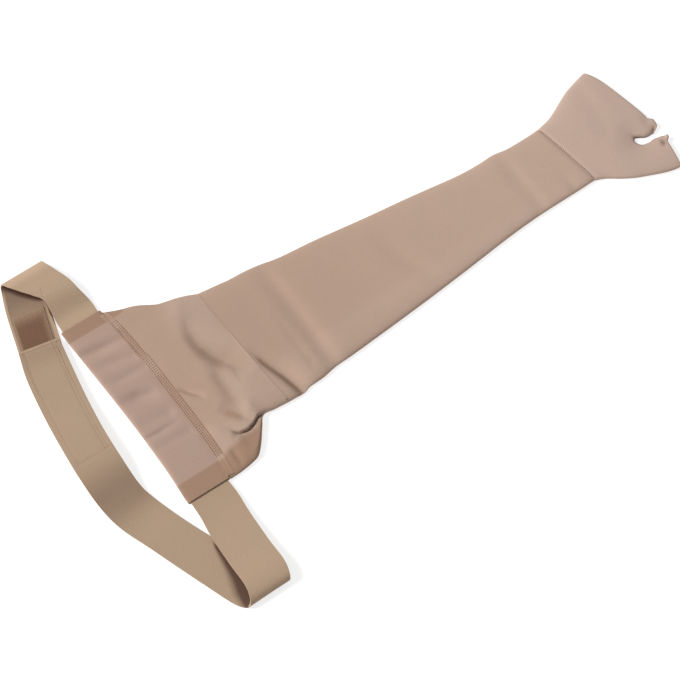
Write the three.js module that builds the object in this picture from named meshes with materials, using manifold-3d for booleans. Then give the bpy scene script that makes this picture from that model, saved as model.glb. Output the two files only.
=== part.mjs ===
// A compression arm sleeve with a hand piece, a shoulder cap and a chest strap, laid out flat.
// Millimetres. x runs along the arm toward the fingers, y across it, z up from the surface it lies on.
// All places in the tables are measured from the middle of the wrist seam.

import * as THREE from "three";
import { mergeVertices } from "three/addons/utils/BufferGeometryUtils.js";
import Module from "manifold-3d";

const wasm = await Module();
wasm.setup();

// ---------------------------------------------------------------- driving sizes

const KNIT = 1.2; // thickness of the knitted cloth
const SEAM_GAP = 0.3; // space between two pieces that are sewn together
const FOLD_HEIGHT = 2.7; // height of the widest point of a tube's folded side
const FOLD_STEPS = 3; // facets of the quarter round under a folded side
const CLOTH_SQUARENESS = 2.8; // how flat a laid tube is on top: 2 is an ellipse
const BAND_SQUARENESS = 7;
const BOW_POWER = 4; // how evenly a bowed ring runs before it turns back at its ends
const BAND_RINGS = 22;

const WEBBING = 1.8; // thickness of the elastic webbing
const PATCH = 0.8; // thickness of a hook or loop patch
const STRIP_FACETS = 80; // rings in a strap's whole length
const CUT_REACH = 8; // how far a cutting solid runs past the opening it makes

const CLOTH_COLOUR = 0xb99f8e;
const HAND_COLOUR = 0xbca394;
const CAP_COLOUR = 0xb39988;
const WEBBING_COLOUR = 0xb89d82;
const HOOK_COLOUR = 0x7d5d48;
const LOOP_COLOUR = 0xa98f76;

// ---------------------------------------------------------------- tables

// A tube's stations. (nearX, nearY) and (farX, farY) are the two folded sides, bow is how far
// the middle of the ring runs ahead of the straight line between them, top is the height there.
const COLUMNS = ["nearX", "nearY", "farX", "farY", "bow", "top"];

const ARM_STATIONS = [
  [-434.7, -80.8, -446.7, 85.6, -2, 10.4],
  [-414.5, -81.4, -419.0, 82.2, -1, 9.6],
  [-405.0, -78.8, -407.0, 80.8, 0, 9.2],
  [-386.0, -77.8, -388.0, 79.8, 0, 9.0],
  [-368.0, -74.6, -369.0, 77.4, 0, 9.0],
  [-345.0, -73.4, -346.0, 72.6, 0, 9.0],
  [-300.0, -70.0, -300.0, 68.0, 0, 8.8],
  [-240.0, -65.0, -240.0, 60.0, 0, 8.8],
  [-180.0, -59.0, -180.0, 53.0, 0, 8.6],
  [-120.0, -52.4, -120.0, 45.0, 0, 8.4],
  [-88.0, -49.8, -90.0, 43.7, 0, 8.4],
  [-68.0, -48.8, -71.0, 44.4, 0, 8.4],
  [-47.0, -48.4, -52.0, 41.5, 0, 8.2],
  [-14.0, -48.0, -24.0, 41.4, 0, 8.0],
  [7.3, -47.4, -8.2, 42.2, 0.6, 8.0],
];

const CAP_STATIONS = [
  [-536.4, -121.0, -546.4, 126.0, 5.4, 6.6],
  [-521.0, -120.4, -530.0, 118.8, 4.0, 8.2],
  [-506.0, -118.2, -513.0, 113.0, 2.5, 9.6],
  [-496.6, -115.0, -500.0, 105.6, 1.5, 10.8],
  [-486.0, -104.0, -491.0, 100.2, 0.5, 11.8],
  [-475.0, -89.2, -480.5, 97.2, 0, 12.2],
  [-465.8, -78.2, -470.5, 94.8, -1, 12.0],
  [-451.5, -79.4, -459.0, 91.0, -1.5, 11.2],
  [-435.0, -80.8, -447.0, 85.8, -2, 10.4],
];

const PALM_STATIONS = [
  [7.7, -47.5, -7.8, 42.2, 0.6, 8.0],
  [20.0, -53.0, 8.0, 45.6, 1, 8.2],
  [33.0, -62.0, 20.0, 50.4, 1, 8.4],
  [48.0, -70.8, 36.0, 58.4, 1.5, 8.6],
  [62.0, -77.0, 50.0, 64.8, 1.5, 8.6],
  [77.0, -83.2, 64.0, 69.0, 1.5, 8.4],
];

const FINGER_STATIONS = [
  [62.0, -44.0, 50.0, 64.4, 1.5, 8.2],
  [77.0, -34.6, 62.0, 68.4, 2, 8.5],
  [90.0, -37.0, 68.6, 70.6, 2, 8.4],
  [100.0, -36.0, 75.2, 72.0, 2, 8.2],
  [109.4, -32.6, 81.8, 73.0, 2, 7.6],
];

const THUMB_STATIONS = [
  [58.0, -74.6, 66.0, -30.0, 0, 8.0],
  [70.0, -80.2, 76.0, -37.6, 0, 8.2],
  [82.0, -85.6, 87.0, -42.6, 0, 8.0],
  [92.0, -88.2, 98.0, -45.0, 0, 7.8],
  [100.2, -88.2, 110.0, -48.6, 0, 7.4],
];

// The band lies beside the cap's first station: its own stations give the outer side.
const BAND_COLUMNS = ["y", "outerX", "top"];

const BAND_STATIONS = [
  [-120.0, -590.4, 5.4],
  [-110.0, -590.6, 5.5],
  [-98.0, -590.0, 5.7],
  [-70.0, -589.4, 6.6],
  [-20.0, -590.2, 6.8],
  [30.0, -592.4, 6.8],
  [70.0, -594.8, 6.6],
  [100.0, -596.6, 5.9],
  [113.0, -597.4, 5.5],
  [129.5, -598.0, 5.4],
];

// Creases pressed down into the upper cloth: a line from (x1, y1) to (x2, y2), how deep it is at
// its start and end, and how far it spreads toward the shoulder (before) and the hand (after).
const CREASE_COLUMNS = ["x1", "y1", "x2", "y2", "deep1", "deep2", "before", "after"];

const CAP_CREASES = [
  [-471, 84, -476, 64, 0.4, 1.8, 6, 14],
  [-476, 64, -480, 44, 1.8, 3.2, 7, 16],
  [-480, 44, -477, 22, 3.2, 4.2, 9, 18],
  [-477, 22, -468, 0, 4.2, 3.8, 10, 16],
  [-468, 0, -457, -16, 3.8, 0.8, 9, 10],
  [-473, -14, -474, -50, 1.8, 1.2, 13, 12],
  [-526, -3, -510, -24, 0.8, 1.4, 4, 4],
  [-497, -54, -484, -68, 2.0, 1.8, 6, 7],
];

const ARM_CREASES = [
  [-438, 4, -434, -28, 0.2, 2.0, 4, 8],
  [-434, -28, -425, -50, 2.0, 3.4, 4, 10],
  [-425, -50, -418, -80, 3.4, 3.4, 4, 11],
  [-381, 74, -380, -30, 0.9, 0.7, 12, 12],
  [-232, 22, -226, -46, 0.6, 0.6, 9, 10],
  [-70, 36, -68, -40, 0.8, 0.8, 12, 6],
];

// The tuck beside the armhole: its foot runs along these points, and the cloth outside it lies low.
const TUCK_FOOT = [
  [-512, -80.0],
  [-505, -81.0],
  [-498, -83.6],
  [-488, -84.2],
  [-480, -81.0],
  [-474, -77.4],
  [-466, -77.2],
  [-460, -78.0],
];
const TUCK_SLOPE = 5; // width of the tuck's rounded side
const TUCK_FADE = 10; // length over which the tuck starts, and over which it ends
const TUCK_WALL = 1.8; // how far the tuck's inside lags its outside, in wall thicknesses
const FLAP_TOP = 5.2; // height of the flap outside the tuck

// Straps: the outer edge (a) and the inner edge (b) of the webbing's middle surface.
const STRAP_COLUMNS = ["ax", "ay", "az", "bx", "by", "bz"];

const UPPER_STRAP = [
  [-595.6, 110.0, 2.8, -549.6, 108.0, 2.8],
  [-595.6, 121.0, 2.8, -549.6, 119.0, 2.8],
  [-595.6, 132.0, 2.9, -549.6, 130.0, 2.9],
  [-595.8, 146.4, 5.0, -549.4, 146.0, 3.4],
  [-595.4, 169.4, 13.0, -552.4, 166.0, 5.0],
  [-601.6, 182.0, 14.0, -555.4, 181.0, 7.0],
  [-610.3, 194.0, 14.0, -561.4, 195.0, 10.0],
  [-618.0, 206.6, 13.0, -567.0, 207.4, 12.0],
  [-623.0, 216.5, 7.4, -570.6, 216.6, 7.2],
  [-624.6, 208.0, 1.4, -573.6, 206.0, 1.3],
  [-629.5, 195.0, 0.9, -580.6, 190.0, 0.9],
  [-637.6, 178.0, 0.9, -589.4, 170.0, 0.9],
  [-649.0, 137.0, 0.9, -601.0, 128.0, 0.9],
  [-657.4, 104.0, 0.9, -608.6, 98.6, 0.9],
  [-662.4, 72.0, 0.9, -613.4, 68.0, 0.9],
];

const LOWER_STRAP = [
  [-587.8, -98.0, 2.8, -540.6, -98.0, 2.8],
  [-587.8, -109.0, 2.8, -540.6, -109.0, 2.8],
  [-587.8, -121.0, 2.9, -540.4, -121.0, 2.9],
  [-588.4, -141.5, 3.6, -539.7, -140.5, 3.4],
  [-591.2, -166.0, 5.8, -541.5, -164.4, 5.5],
  [-592.6, -203.2, 10.2, -542.8, -203.3, 9.8],
  [-592.6, -233.5, 13.6, -542.5, -233.6, 13.0],
  [-595.9, -248.9, 12.4, -545.8, -249.1, 12.0],
  [-600.1, -255.0, 7.0, -549.6, -254.7, 6.8],
  [-605.4, -251.0, 2.6, -554.0, -246.6, 2.4],
  [-613.0, -239.0, 0.9, -565.6, -224.0, 0.9],
  [-627.0, -203.6, 0.9, -579.6, -189.0, 0.9],
  [-637.8, -175.6, 0.9, -591.4, -162.0, 0.9],
  [-651.6, -139.0, 1.1, -605.4, -127.0, 1.0],
  [-665.6, -102.4, 1.4, -617.2, -91.8, 1.2],
  [-671.8, -71.8, 5.4, -622.2, -69.8, 5.0],
  [-673.4, -34.4, 12.6, -622.8, -34.4, 12.2],
  [-671.0, 8.0, 11.4, -620.6, 6.0, 11.0],
  [-666.4, 54.0, 7.6, -615.2, 50.0, 7.4],
  [-659.2, 101.0, 6.0, -607.6, 97.0, 6.0],
  [-649.8, 135.0, 5.6, -602.8, 126.0, 5.6],
];

// ---------------------------------------------------------------- helpers

const mix = THREE.MathUtils.lerp;
const smooth = THREE.MathUtils.smoothstep;

// A table's rows as objects with the columns' names.
function tableRows(rows, columns) {
  return rows.map((row) => Object.fromEntries(columns.map((name, i) => [name, row[i]])));
}

// Reads a table at any place along it, 0 at its first row and 1 at its last, smoothly.
function tableReader(rows, columns) {
  const places = rows.map((_, row) => row / (rows.length - 1));
  const reader = new THREE.CubicInterpolant(places, rows.flat(), columns.length);
  return (place) => {
    const values = Array.from(reader.evaluate(THREE.MathUtils.clamp(place, 0, 1)));
    return tableRows([values], columns)[0];
  };
}

// How far the creases press the cloth down at (x, y).
function pressedDown(creases, x, y) {
  let total = 0;
  for (const { x1, y1, x2, y2, deep1, deep2, before, after } of creases) {
    const alongX = x2 - x1;
    const alongY = y2 - y1;
    const length = Math.hypot(alongX, alongY);
    const share = ((x - x1) * alongX + (y - y1) * alongY) / (length * length);
    const held = THREE.MathUtils.clamp(share, 0, 1);
    const offX = x - mix(x1, x2, held);
    const offY = y - mix(y1, y2, held);
    const spread = offX < 0 ? before : after;
    const nearness = Math.exp(-(offX * offX + offY * offY) / (spread * spread));
    total = Math.max(total, mix(deep1, deep2, held) * nearness);
  }
  return total;
}

// The y of the tuck's foot at x, or nothing where the tuck has run out.
function tuckFootAt(x) {
  for (let i = 0; i + 1 < TUCK_FOOT.length; i++) {
    const [x1, y1] = TUCK_FOOT[i];
    const [x2, y2] = TUCK_FOOT[i + 1];
    if (x >= x1 && x <= x2) {
      return mix(y1, y2, (x - x1) / (x2 - x1));
    }
  }
  return null;
}

// Lowers the cap's upper cloth to the flap's height outside the tuck. The cloth's inside, at
// inset, runs on further under the tuck's steep side, so that the wall stays whole there.
function loweredToFlap(x, y, z, inset) {
  const foot = tuckFootAt(x);
  if (foot === null) {
    return z;
  }
  const firstX = TUCK_FOOT[0][0];
  const lastX = TUCK_FOOT.at(-1)[0];
  const strength =
    smooth(x, firstX, firstX + TUCK_FADE) * (1 - smooth(x, lastX - TUCK_FADE, lastX));
  const inward = TUCK_WALL * inset;
  const outside = 1 - smooth(y, foot + inward, foot + inward + TUCK_SLOPE);
  return mix(z, Math.min(z, FLAP_TOP - inset), outside * strength);
}

// One ring of a flattened tube as points, drawn in from the cloth's outside by inset: along the
// underside from the near side to the far side, then back over the top.
function tubeRing(station, options, inset) {
  const near = new THREE.Vector2(station.nearX, station.nearY);
  const far = new THREE.Vector2(station.farX, station.farY);
  const half = near.distanceTo(far) / 2 - inset;
  const middle = near.clone().add(far).multiplyScalar(0.5);
  const across = far.clone().sub(near).normalize();
  const ahead = new THREE.Vector2(across.y, -across.x);
  const power = 2 / options.squareness;
  const side = Math.min(FOLD_HEIGHT, station.top / 2);
  const points = [];

  const place = (offset, z) => {
    const share = offset / half;
    const run = station.bow * (1 - share ** BOW_POWER);
    const x = middle.x + across.x * offset + ahead.x * run;
    const y = middle.y + across.y * offset + ahead.y * run;
    points.push(new THREE.Vector3(x, y, z));
  };

  const round = side - inset;
  for (let i = 0; i < FOLD_STEPS; i++) {
    const turn = (i / FOLD_STEPS) * (Math.PI / 2);
    place(-half + round - round * Math.cos(turn), side - round * Math.sin(turn));
  }
  for (let i = 0; i <= options.underSteps; i++) {
    place(mix(-half + round, half - round, i / options.underSteps), inset);
  }
  for (let i = FOLD_STEPS - 1; i >= 0; i--) {
    const turn = (i / FOLD_STEPS) * (Math.PI / 2);
    place(half - round + round * Math.cos(turn), side - round * Math.sin(turn));
  }
  for (let i = 1; i < options.overSteps; i++) {
    const turn = (i / options.overSteps) * Math.PI;
    const offset = half * Math.sign(Math.cos(turn)) * Math.abs(Math.cos(turn)) ** power;
    const rise = Math.sin(turn) ** power;
    place(offset, side + (station.top - inset - side) * rise);
    const point = points.at(-1);
    point.z -= rise * pressedDown(options.creases, point.x, point.y);
    if (options.tucked) {
      point.z = Math.max(loweredToFlap(point.x, point.y, point.z, inset), side);
    }
  }
  return points;
}

// Triangles across a ring, in a narrow zigzag from its near side to its far one, so that they
// follow a bowed ring. The ring's points run under the tube as far as farCorner, then over it.
function ringCover(ring, farCorner) {
  const under = ring.map((_, i) => i).slice(0, farCorner + 1);
  const over = [0, ...ring.map((_, i) => i).slice(farCorner).reverse()];
  const reach = (i) => ring[i].clone().sub(ring[0]).setZ(0).length();
  const triangles = [];
  let u = 0;
  let o = 0;
  while (u + 1 < under.length || o + 1 < over.length) {
    const nextUnder = u + 1 < under.length ? reach(under[u + 1]) : Infinity;
    const nextOver = o + 1 < over.length ? reach(over[o + 1]) : Infinity;
    if (nextUnder < nextOver) {
      triangles.push([under[u], under[u + 1], over[o]]);
      u += 1;
    } else {
      triangles.push([under[u], over[o + 1], over[o]]);
      o += 1;
    }
  }
  return triangles.filter(([a, b, c]) => a !== b && b !== c && c !== a);
}

// A closed solid through rings of equal length, closed at both ends.
function solidThroughRings(rings, farCorner) {
  const count = rings[0].length;
  const points = rings.flat();
  const index = [];
  for (let r = 0; r + 1 < rings.length; r++) {
    for (let i = 0; i < count; i++) {
      const next = (i + 1) % count;
      const a = r * count + i;
      const b = r * count + next;
      index.push(a, b, b + count, a, b + count, a + count);
    }
  }
  const last = (rings.length - 1) * count;
  for (const [a, b, c] of ringCover(rings[0], farCorner)) {
    index.push(a, c, b);
  }
  for (const [a, b, c] of ringCover(rings.at(-1), farCorner)) {
    index.push(last + a, last + b, last + c);
  }
  const geometry = new THREE.BufferGeometry().setFromPoints(points);
  geometry.setIndex(index);
  return outwardSolid(geometry);
}

// A manifold solid from a closed geometry, whichever way its faces were wound.
function outwardSolid(geometry) {
  geometry.deleteAttribute("normal");
  geometry.deleteAttribute("uv");
  const merged = mergeVertices(geometry, 1e-4);
  const build = (triVerts) =>
    new wasm.Manifold(
      new wasm.Mesh({
        numProp: 3,
        vertProperties: merged.attributes.position.array,
        triVerts,
      }),
    );
  const triangles = new Uint32Array(merged.index.array);
  const solid = build(triangles);
  if (solid.volume() > 0) {
    return solid;
  }
  return build(triangles.reverse());
}

function geometryOf(solid) {
  const mesh = solid.getMesh();
  const geometry = new THREE.BufferGeometry();
  geometry.setAttribute("position", new THREE.BufferAttribute(mesh.vertProperties, 3));
  geometry.setIndex(new THREE.BufferAttribute(mesh.triVerts, 1));
  geometry.computeVertexNormals();
  return geometry;
}

// The outside of a tube, and the room inside it, which runs on past each end that is open.
function tubeSolids(stations, options) {
  const read = tableReader(stations, COLUMNS);
  const outer = [];
  const inner = [];
  for (let r = 0; r <= options.rings; r++) {
    const station = read(r / options.rings);
    outer.push(tubeRing(station, options, 0));
    inner.push(tubeRing(station, options, KNIT));
  }
  inner.unshift(movedOn(inner[0], inner[1], options.openStart ? CUT_REACH : -KNIT));
  inner.push(movedOn(inner.at(-1), inner.at(-2), options.openEnd ? CUT_REACH : -KNIT));
  if (!options.openStart) {
    inner.splice(1, 1);
  }
  if (!options.openEnd) {
    inner.splice(-2, 1);
  }
  const farCorner = 2 * FOLD_STEPS + options.underSteps;
  return {
    outside: solidThroughRings(outer, farCorner),
    room: solidThroughRings(inner, farCorner),
  };
}

// A copy of an end ring, moved on past that end, or back from it where distance is below zero.
function movedOn(end, before, distance) {
  const middle = (ring) =>
    ring.reduce((sum, p) => sum.add(p), new THREE.Vector3()).divideScalar(ring.length);
  const step = middle(end).sub(middle(before)).setZ(0).normalize().multiplyScalar(distance);
  return end.map((p) => p.clone().add(step));
}

function openTube(stations, options) {
  const { outside, room } = tubeSolids(stations, { openStart: true, openEnd: true, ...options });
  return outside.subtract(room);
}

// A strip of webbing or patch cloth between two edge lines. from and to are places along the
// strap's table, inset draws its sides in, and lift moves it off the strap's middle surface.
function strip(rows, options) {
  const read = tableReader(rows, STRAP_COLUMNS);
  const rings = [];
  const edges = (place) => {
    const row = read(place);
    const a = new THREE.Vector3(row.ax, row.ay, row.az);
    const b = new THREE.Vector3(row.bx, row.by, row.bz);
    return { a, b };
  };
  const middleAt = (place) => {
    const { a, b } = edges(place);
    return a.add(b).multiplyScalar(0.5);
  };
  const count = Math.ceil(STRIP_FACETS * (options.to - options.from));
  for (let r = 0; r <= count; r++) {
    const place = mix(options.from, options.to, r / count);
    const { a, b } = edges(place);
    const across = b.clone().sub(a).normalize();
    const ahead = middleAt(Math.min(place + 0.002, 1)).sub(middleAt(Math.max(place - 0.002, 0)));
    const normal = ahead.cross(across).normalize();
    a.addScaledVector(across, options.inset);
    b.addScaledVector(across, -options.inset);
    const low = options.lift - options.thickness / 2;
    const high = options.lift + options.thickness / 2;
    const ring = [
      a.clone().addScaledVector(normal, low),
      b.clone().addScaledVector(normal, low),
      b.clone().addScaledVector(normal, high),
      a.clone().addScaledVector(normal, high),
    ];
    ring.forEach((point) => point.setZ(Math.max(point.z, 0)));
    rings.push(ring);
  }
  return stripThroughRings(rings);
}

function stripThroughRings(rings) {
  const index = [];
  for (let r = 0; r + 1 < rings.length; r++) {
    for (let i = 0; i < 4; i++) {
      const a = r * 4 + i;
      const b = r * 4 + ((i + 1) % 4);
      index.push(a, b, b + 4, a, b + 4, a + 4);
    }
  }
  const last = (rings.length - 1) * 4;
  index.push(0, 2, 1, 0, 3, 2);
  index.push(last, last + 1, last + 2, last, last + 2, last + 3);
  const geometry = new THREE.BufferGeometry().setFromPoints(rings.flat());
  geometry.setIndex(index);
  return outwardSolid(geometry);
}

// ---------------------------------------------------------------- the pieces

function sleeve() {
  return openTube(ARM_STATIONS, {
    rings: 36,
    underSteps: 4,
    overSteps: 20,
    squareness: CLOTH_SQUARENESS,
    creases: tableRows(ARM_CREASES, CREASE_COLUMNS),
  });
}

// The palm tube divides into a finger tube and a thumb tube, with the notch between them.
function gauntlet() {
  const shape = { underSteps: 5, overSteps: 22, squareness: CLOTH_SQUARENESS, creases: [] };
  const palm = tubeSolids(PALM_STATIONS, { ...shape, rings: 8, openStart: true });
  const fingers = tubeSolids(FINGER_STATIONS, { ...shape, rings: 7, openEnd: true });
  const thumb = tubeSolids(THUMB_STATIONS, { ...shape, rings: 6, overSteps: 16, openEnd: true });
  const outside = wasm.Manifold.union([palm.outside, fingers.outside, thumb.outside]);
  const room = wasm.Manifold.union([palm.room, fingers.room, thumb.room]);
  return outside.subtract(room);
}

// The cap's underside is cut away to the armhole, which leaves a turned hem along each side.
const ARMHOLE_DEPTH = 66; // from the band's seam toward the hand
const ARMHOLE_HALF_WIDTH = 98;
const ARMHOLE_CENTRE_Y = 4;
const ARMHOLE_SEAM_X = -542;
const ARMHOLE_FACETS = 48;
const ARMHOLE_CUT = 3; // height of the cut, half of it above the surface: through the underside only

function shoulderCap() {
  const tube = openTube(CAP_STATIONS, {
    rings: 24,
    underSteps: 6,
    overSteps: 36,
    squareness: CLOTH_SQUARENESS,
    creases: tableRows(CAP_CREASES, CREASE_COLUMNS),
    tucked: true,
  });
  const armhole = new THREE.CylinderGeometry(1, 1, ARMHOLE_CUT, ARMHOLE_FACETS);
  armhole.rotateX(Math.PI / 2);
  armhole.scale(ARMHOLE_DEPTH, ARMHOLE_HALF_WIDTH, 1);
  armhole.translate(ARMHOLE_SEAM_X, ARMHOLE_CENTRE_Y, 0);
  return tube.subtract(outwardSolid(armhole));
}

// The x of the seam between cap and band at y.
function capSeamX(y) {
  const [nearX, nearY, farX, farY, bow] = CAP_STATIONS[0];
  const share = (y - nearY) / (farY - nearY);
  return mix(nearX, farX, share) + bow * (1 - (2 * share - 1) ** BOW_POWER);
}

function capBand() {
  const read = tableReader(BAND_STATIONS, BAND_COLUMNS);
  const stations = [];
  for (let r = 0; r <= BAND_RINGS; r++) {
    const { y, outerX, top } = read(r / BAND_RINGS);
    stations.push([capSeamX(y) - SEAM_GAP, y, outerX, y, 0, top]);
  }
  return openTube(stations, {
    rings: BAND_RINGS,
    underSteps: 4,
    overSteps: 18,
    squareness: BAND_SQUARENESS,
    creases: [],
  });
}

function strapUpper() {
  return strip(UPPER_STRAP, { from: 0, to: 1, inset: 0, lift: 0, thickness: WEBBING });
}

function strapLower() {
  return strip(LOWER_STRAP, { from: 0, to: 1, inset: 0, lift: 0, thickness: WEBBING });
}

const PATCH_LIFT = WEBBING / 2 + SEAM_GAP + PATCH / 2; // from the webbing's middle to the patch's

// The hook patch lies on the upper strap's inner side, which faces up past its fold.
function hookPatch() {
  return strip(UPPER_STRAP, {
    from: 0.8,
    to: 0.99,
    inset: 6,
    lift: PATCH_LIFT,
    thickness: PATCH,
  });
}

// The loop panel lies under the lower strap's end, over the hook patch.
function loopPatch() {
  return strip(LOWER_STRAP, {
    from: 0.82,
    to: 0.992,
    inset: 3,
    lift: PATCH_LIFT,
    thickness: PATCH,
  });
}

// ---------------------------------------------------------------- assembly

function named(name, solid, color, roughness) {
  const material = new THREE.MeshStandardMaterial({ color, roughness, metalness: 0 });
  const mesh = new THREE.Mesh(geometryOf(solid), material);
  mesh.name = name;
  return mesh;
}

const group = new THREE.Group();
group.add(
  named("sleeve", sleeve(), CLOTH_COLOUR, 0.9),
  named("gauntlet", gauntlet(), HAND_COLOUR, 0.9),
  named("shoulder_cap", shoulderCap(), CAP_COLOUR, 0.9),
  named("cap_band", capBand(), CAP_COLOUR, 0.9),
  named("strap_upper", strapUpper(), WEBBING_COLOUR, 0.8),
  named("strap_lower", strapLower(), WEBBING_COLOUR, 0.8),
  named("hook_patch", hookPatch(), HOOK_COLOUR, 0.95),
  named("loop_patch", loopPatch(), LOOP_COLOUR, 0.95),
);

// The frame's origin is the middle of the footprint, on the surface the sleeve lies on.
const bounds = new THREE.Box3().setFromObject(group);
const centre = bounds.getCenter(new THREE.Vector3());
group.position.set(-centre.x, -centre.y, -bounds.min.z);

export default group;
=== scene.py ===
"""A compression arm sleeve with a hand piece, a shoulder cap and a chest strap, laid out flat.

Run as a script, it loads the fixed frame, dresses each node of it in cloth and sets the stage.
Tables are in millimetres, measured from the middle of the wrist seam; what is built from them is in
metres, and so are the UV maps.
"""

import math
from collections import namedtuple

import bmesh
import bpy
import numpy as np
from bpy.props import FloatProperty, FloatVectorProperty, PointerProperty
from mathutils import Matrix, Vector
from mathutils.bvhtree import BVHTree


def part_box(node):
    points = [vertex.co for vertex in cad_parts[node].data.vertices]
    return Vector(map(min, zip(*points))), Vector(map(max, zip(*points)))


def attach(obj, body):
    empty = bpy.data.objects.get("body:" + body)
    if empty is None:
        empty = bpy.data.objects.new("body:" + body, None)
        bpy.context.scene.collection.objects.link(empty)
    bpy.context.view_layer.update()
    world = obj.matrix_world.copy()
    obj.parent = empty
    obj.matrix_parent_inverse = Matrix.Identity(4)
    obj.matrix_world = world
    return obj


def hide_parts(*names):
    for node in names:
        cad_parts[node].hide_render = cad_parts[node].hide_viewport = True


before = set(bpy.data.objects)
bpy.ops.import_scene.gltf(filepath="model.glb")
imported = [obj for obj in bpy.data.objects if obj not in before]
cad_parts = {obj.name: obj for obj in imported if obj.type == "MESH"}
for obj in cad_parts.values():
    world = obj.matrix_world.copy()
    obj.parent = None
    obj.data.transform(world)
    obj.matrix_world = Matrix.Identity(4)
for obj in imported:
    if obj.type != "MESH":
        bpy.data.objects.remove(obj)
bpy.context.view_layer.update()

bl_info = {
    "name": "Compression Arm Sleeve",
    "version": (1, 0, 0),
    "blender": (4, 5, 0),
    "location": "View3D > Sidebar > Arm Sleeve",
    "description": "Dresses a laid-out compression arm sleeve in knit, webbing and stitching",
    "category": "Add Mesh",
}

MM = 0.001
BODY = "root"
WELD = 0.02 * MM  # points closer than this are one point

# The sleeve's box reaches this far past the middle of the wrist seam, toward the hand and away from
# the thumb, so its corner gives the place that all the tables are measured from.
SLEEVE_REACH = (7.3 * MM, 85.6 * MM)
SLEEVE_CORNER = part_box("sleeve")[1]
ORIGIN_X = SLEEVE_CORNER.x - SLEEVE_REACH[0]
ORIGIN_Y = SLEEVE_CORNER.y - SLEEVE_REACH[1]

# ---------------------------------------------------------------- tables of the laid cloth

# A tube's stations: near_x, near_y, far_x, far_y, bow, top. They are its two folded sides, how far
# its middle runs ahead of them, and its height.
ARM_STATIONS = (
    (-434.7, -80.8, -446.7, 85.6, -2, 10.4),
    (-414.5, -81.4, -419.0, 82.2, -1, 9.6),
    (-405.0, -78.8, -407.0, 80.8, 0, 9.2),
    (-386.0, -77.8, -388.0, 79.8, 0, 9.0),
    (-368.0, -74.6, -369.0, 77.4, 0, 9.0),
    (-345.0, -73.4, -346.0, 72.6, 0, 9.0),
    (-300.0, -70.0, -300.0, 68.0, 0, 8.8),
    (-240.0, -65.0, -240.0, 60.0, 0, 8.8),
    (-180.0, -59.0, -180.0, 53.0, 0, 8.6),
    (-120.0, -52.4, -120.0, 45.0, 0, 8.4),
    (-88.0, -49.8, -90.0, 43.7, 0, 8.4),
    (-68.0, -48.8, -71.0, 44.4, 0, 8.4),
    (-47.0, -48.4, -52.0, 41.5, 0, 8.2),
    (-14.0, -48.0, -24.0, 41.4, 0, 8.0),
    (7.3, -47.4, -8.2, 42.2, 0.6, 8.0),
)

CAP_STATIONS = (
    (-536.4, -121.0, -546.4, 126.0, 5.4, 6.6),
    (-521.0, -120.4, -530.0, 118.8, 4.0, 8.2),
    (-506.0, -118.2, -513.0, 113.0, 2.5, 9.6),
    (-496.6, -115.0, -500.0, 105.6, 1.5, 10.8),
    (-486.0, -104.0, -491.0, 100.2, 0.5, 11.8),
    (-475.0, -89.2, -480.5, 97.2, 0, 12.2),
    (-465.8, -78.2, -470.5, 94.8, -1, 12.0),
    (-451.5, -79.4, -459.0, 91.0, -1.5, 11.2),
    (-435.0, -80.8, -447.0, 85.8, -2, 10.4),
)

# The palm's stations: near_x, near_y, split_x, split_y, far_x, far_y, bow, top. The split divides
# thumb and fingers.
PALM_STATIONS = (
    (7.7, -47.5, 3.4, -22.0, -7.8, 42.2, 0, 8.0),
    (20.0, -53.0, 17.0, -25.0, 8.0, 45.6, 0, 8.2),
    (33.0, -62.0, 31.0, -28.0, 20.0, 50.4, 0, 8.4),
    (48.0, -70.8, 46.0, -30.0, 36.0, 58.4, 0, 8.6),
    (62.0, -77.0, 61.0, -31.0, 50.0, 64.8, 0, 8.6),
    (77.0, -83.2, 76.4, -32.4, 64.0, 69.0, 0, 8.5),
)

# Fingers and thumb have a tube's columns.
FINGER_STATIONS = (
    (76.4, -32.4, 64.0, 69.0, 0, 8.5),
    (78.6, -29.4, 66.4, 69.6, 0.6, 8.5),
    (83.6, -31.4, 69.0, 70.4, 1.2, 8.5),
    (89.0, -34.8, 72.4, 71.4, 1.8, 8.4),
    (95.0, -35.9, 75.6, 72.2, 2.6, 8.2),
    (99.6, -35.0, 77.6, 72.6, 4.2, 8.0),
    (104.4, -32.4, 80.6, 73.0, 5.2, 7.6),
)

THUMB_STATIONS = (
    (77.0, -83.2, 76.4, -32.4, 0, 8.5),
    (79.2, -84.0, 77.0, -36.6, 0, 8.4),
    (83.4, -85.4, 80.8, -40.8, 0, 8.2),
    (88.0, -86.8, 87.6, -42.2, 0, 8.0),
    (92.2, -87.8, 95.0, -43.0, 0, 7.8),
    (96.4, -88.4, 101.6, -44.4, 0, 7.6),
    (100.4, -88.6, 107.8, -46.2, 0, 7.4),
)

# The band's outer fold: y, outer_x, top.
BAND_STATIONS = (
    (-120.0, -590.4, 5.4),
    (-110.0, -590.6, 5.5),
    (-98.0, -590.0, 5.7),
    (-70.0, -589.4, 6.6),
    (-20.0, -590.2, 6.8),
    (30.0, -592.4, 6.8),
    (70.0, -594.8, 6.6),
    (100.0, -596.6, 5.9),
    (113.0, -597.4, 5.5),
    (129.5, -598.0, 5.4),
)

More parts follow.
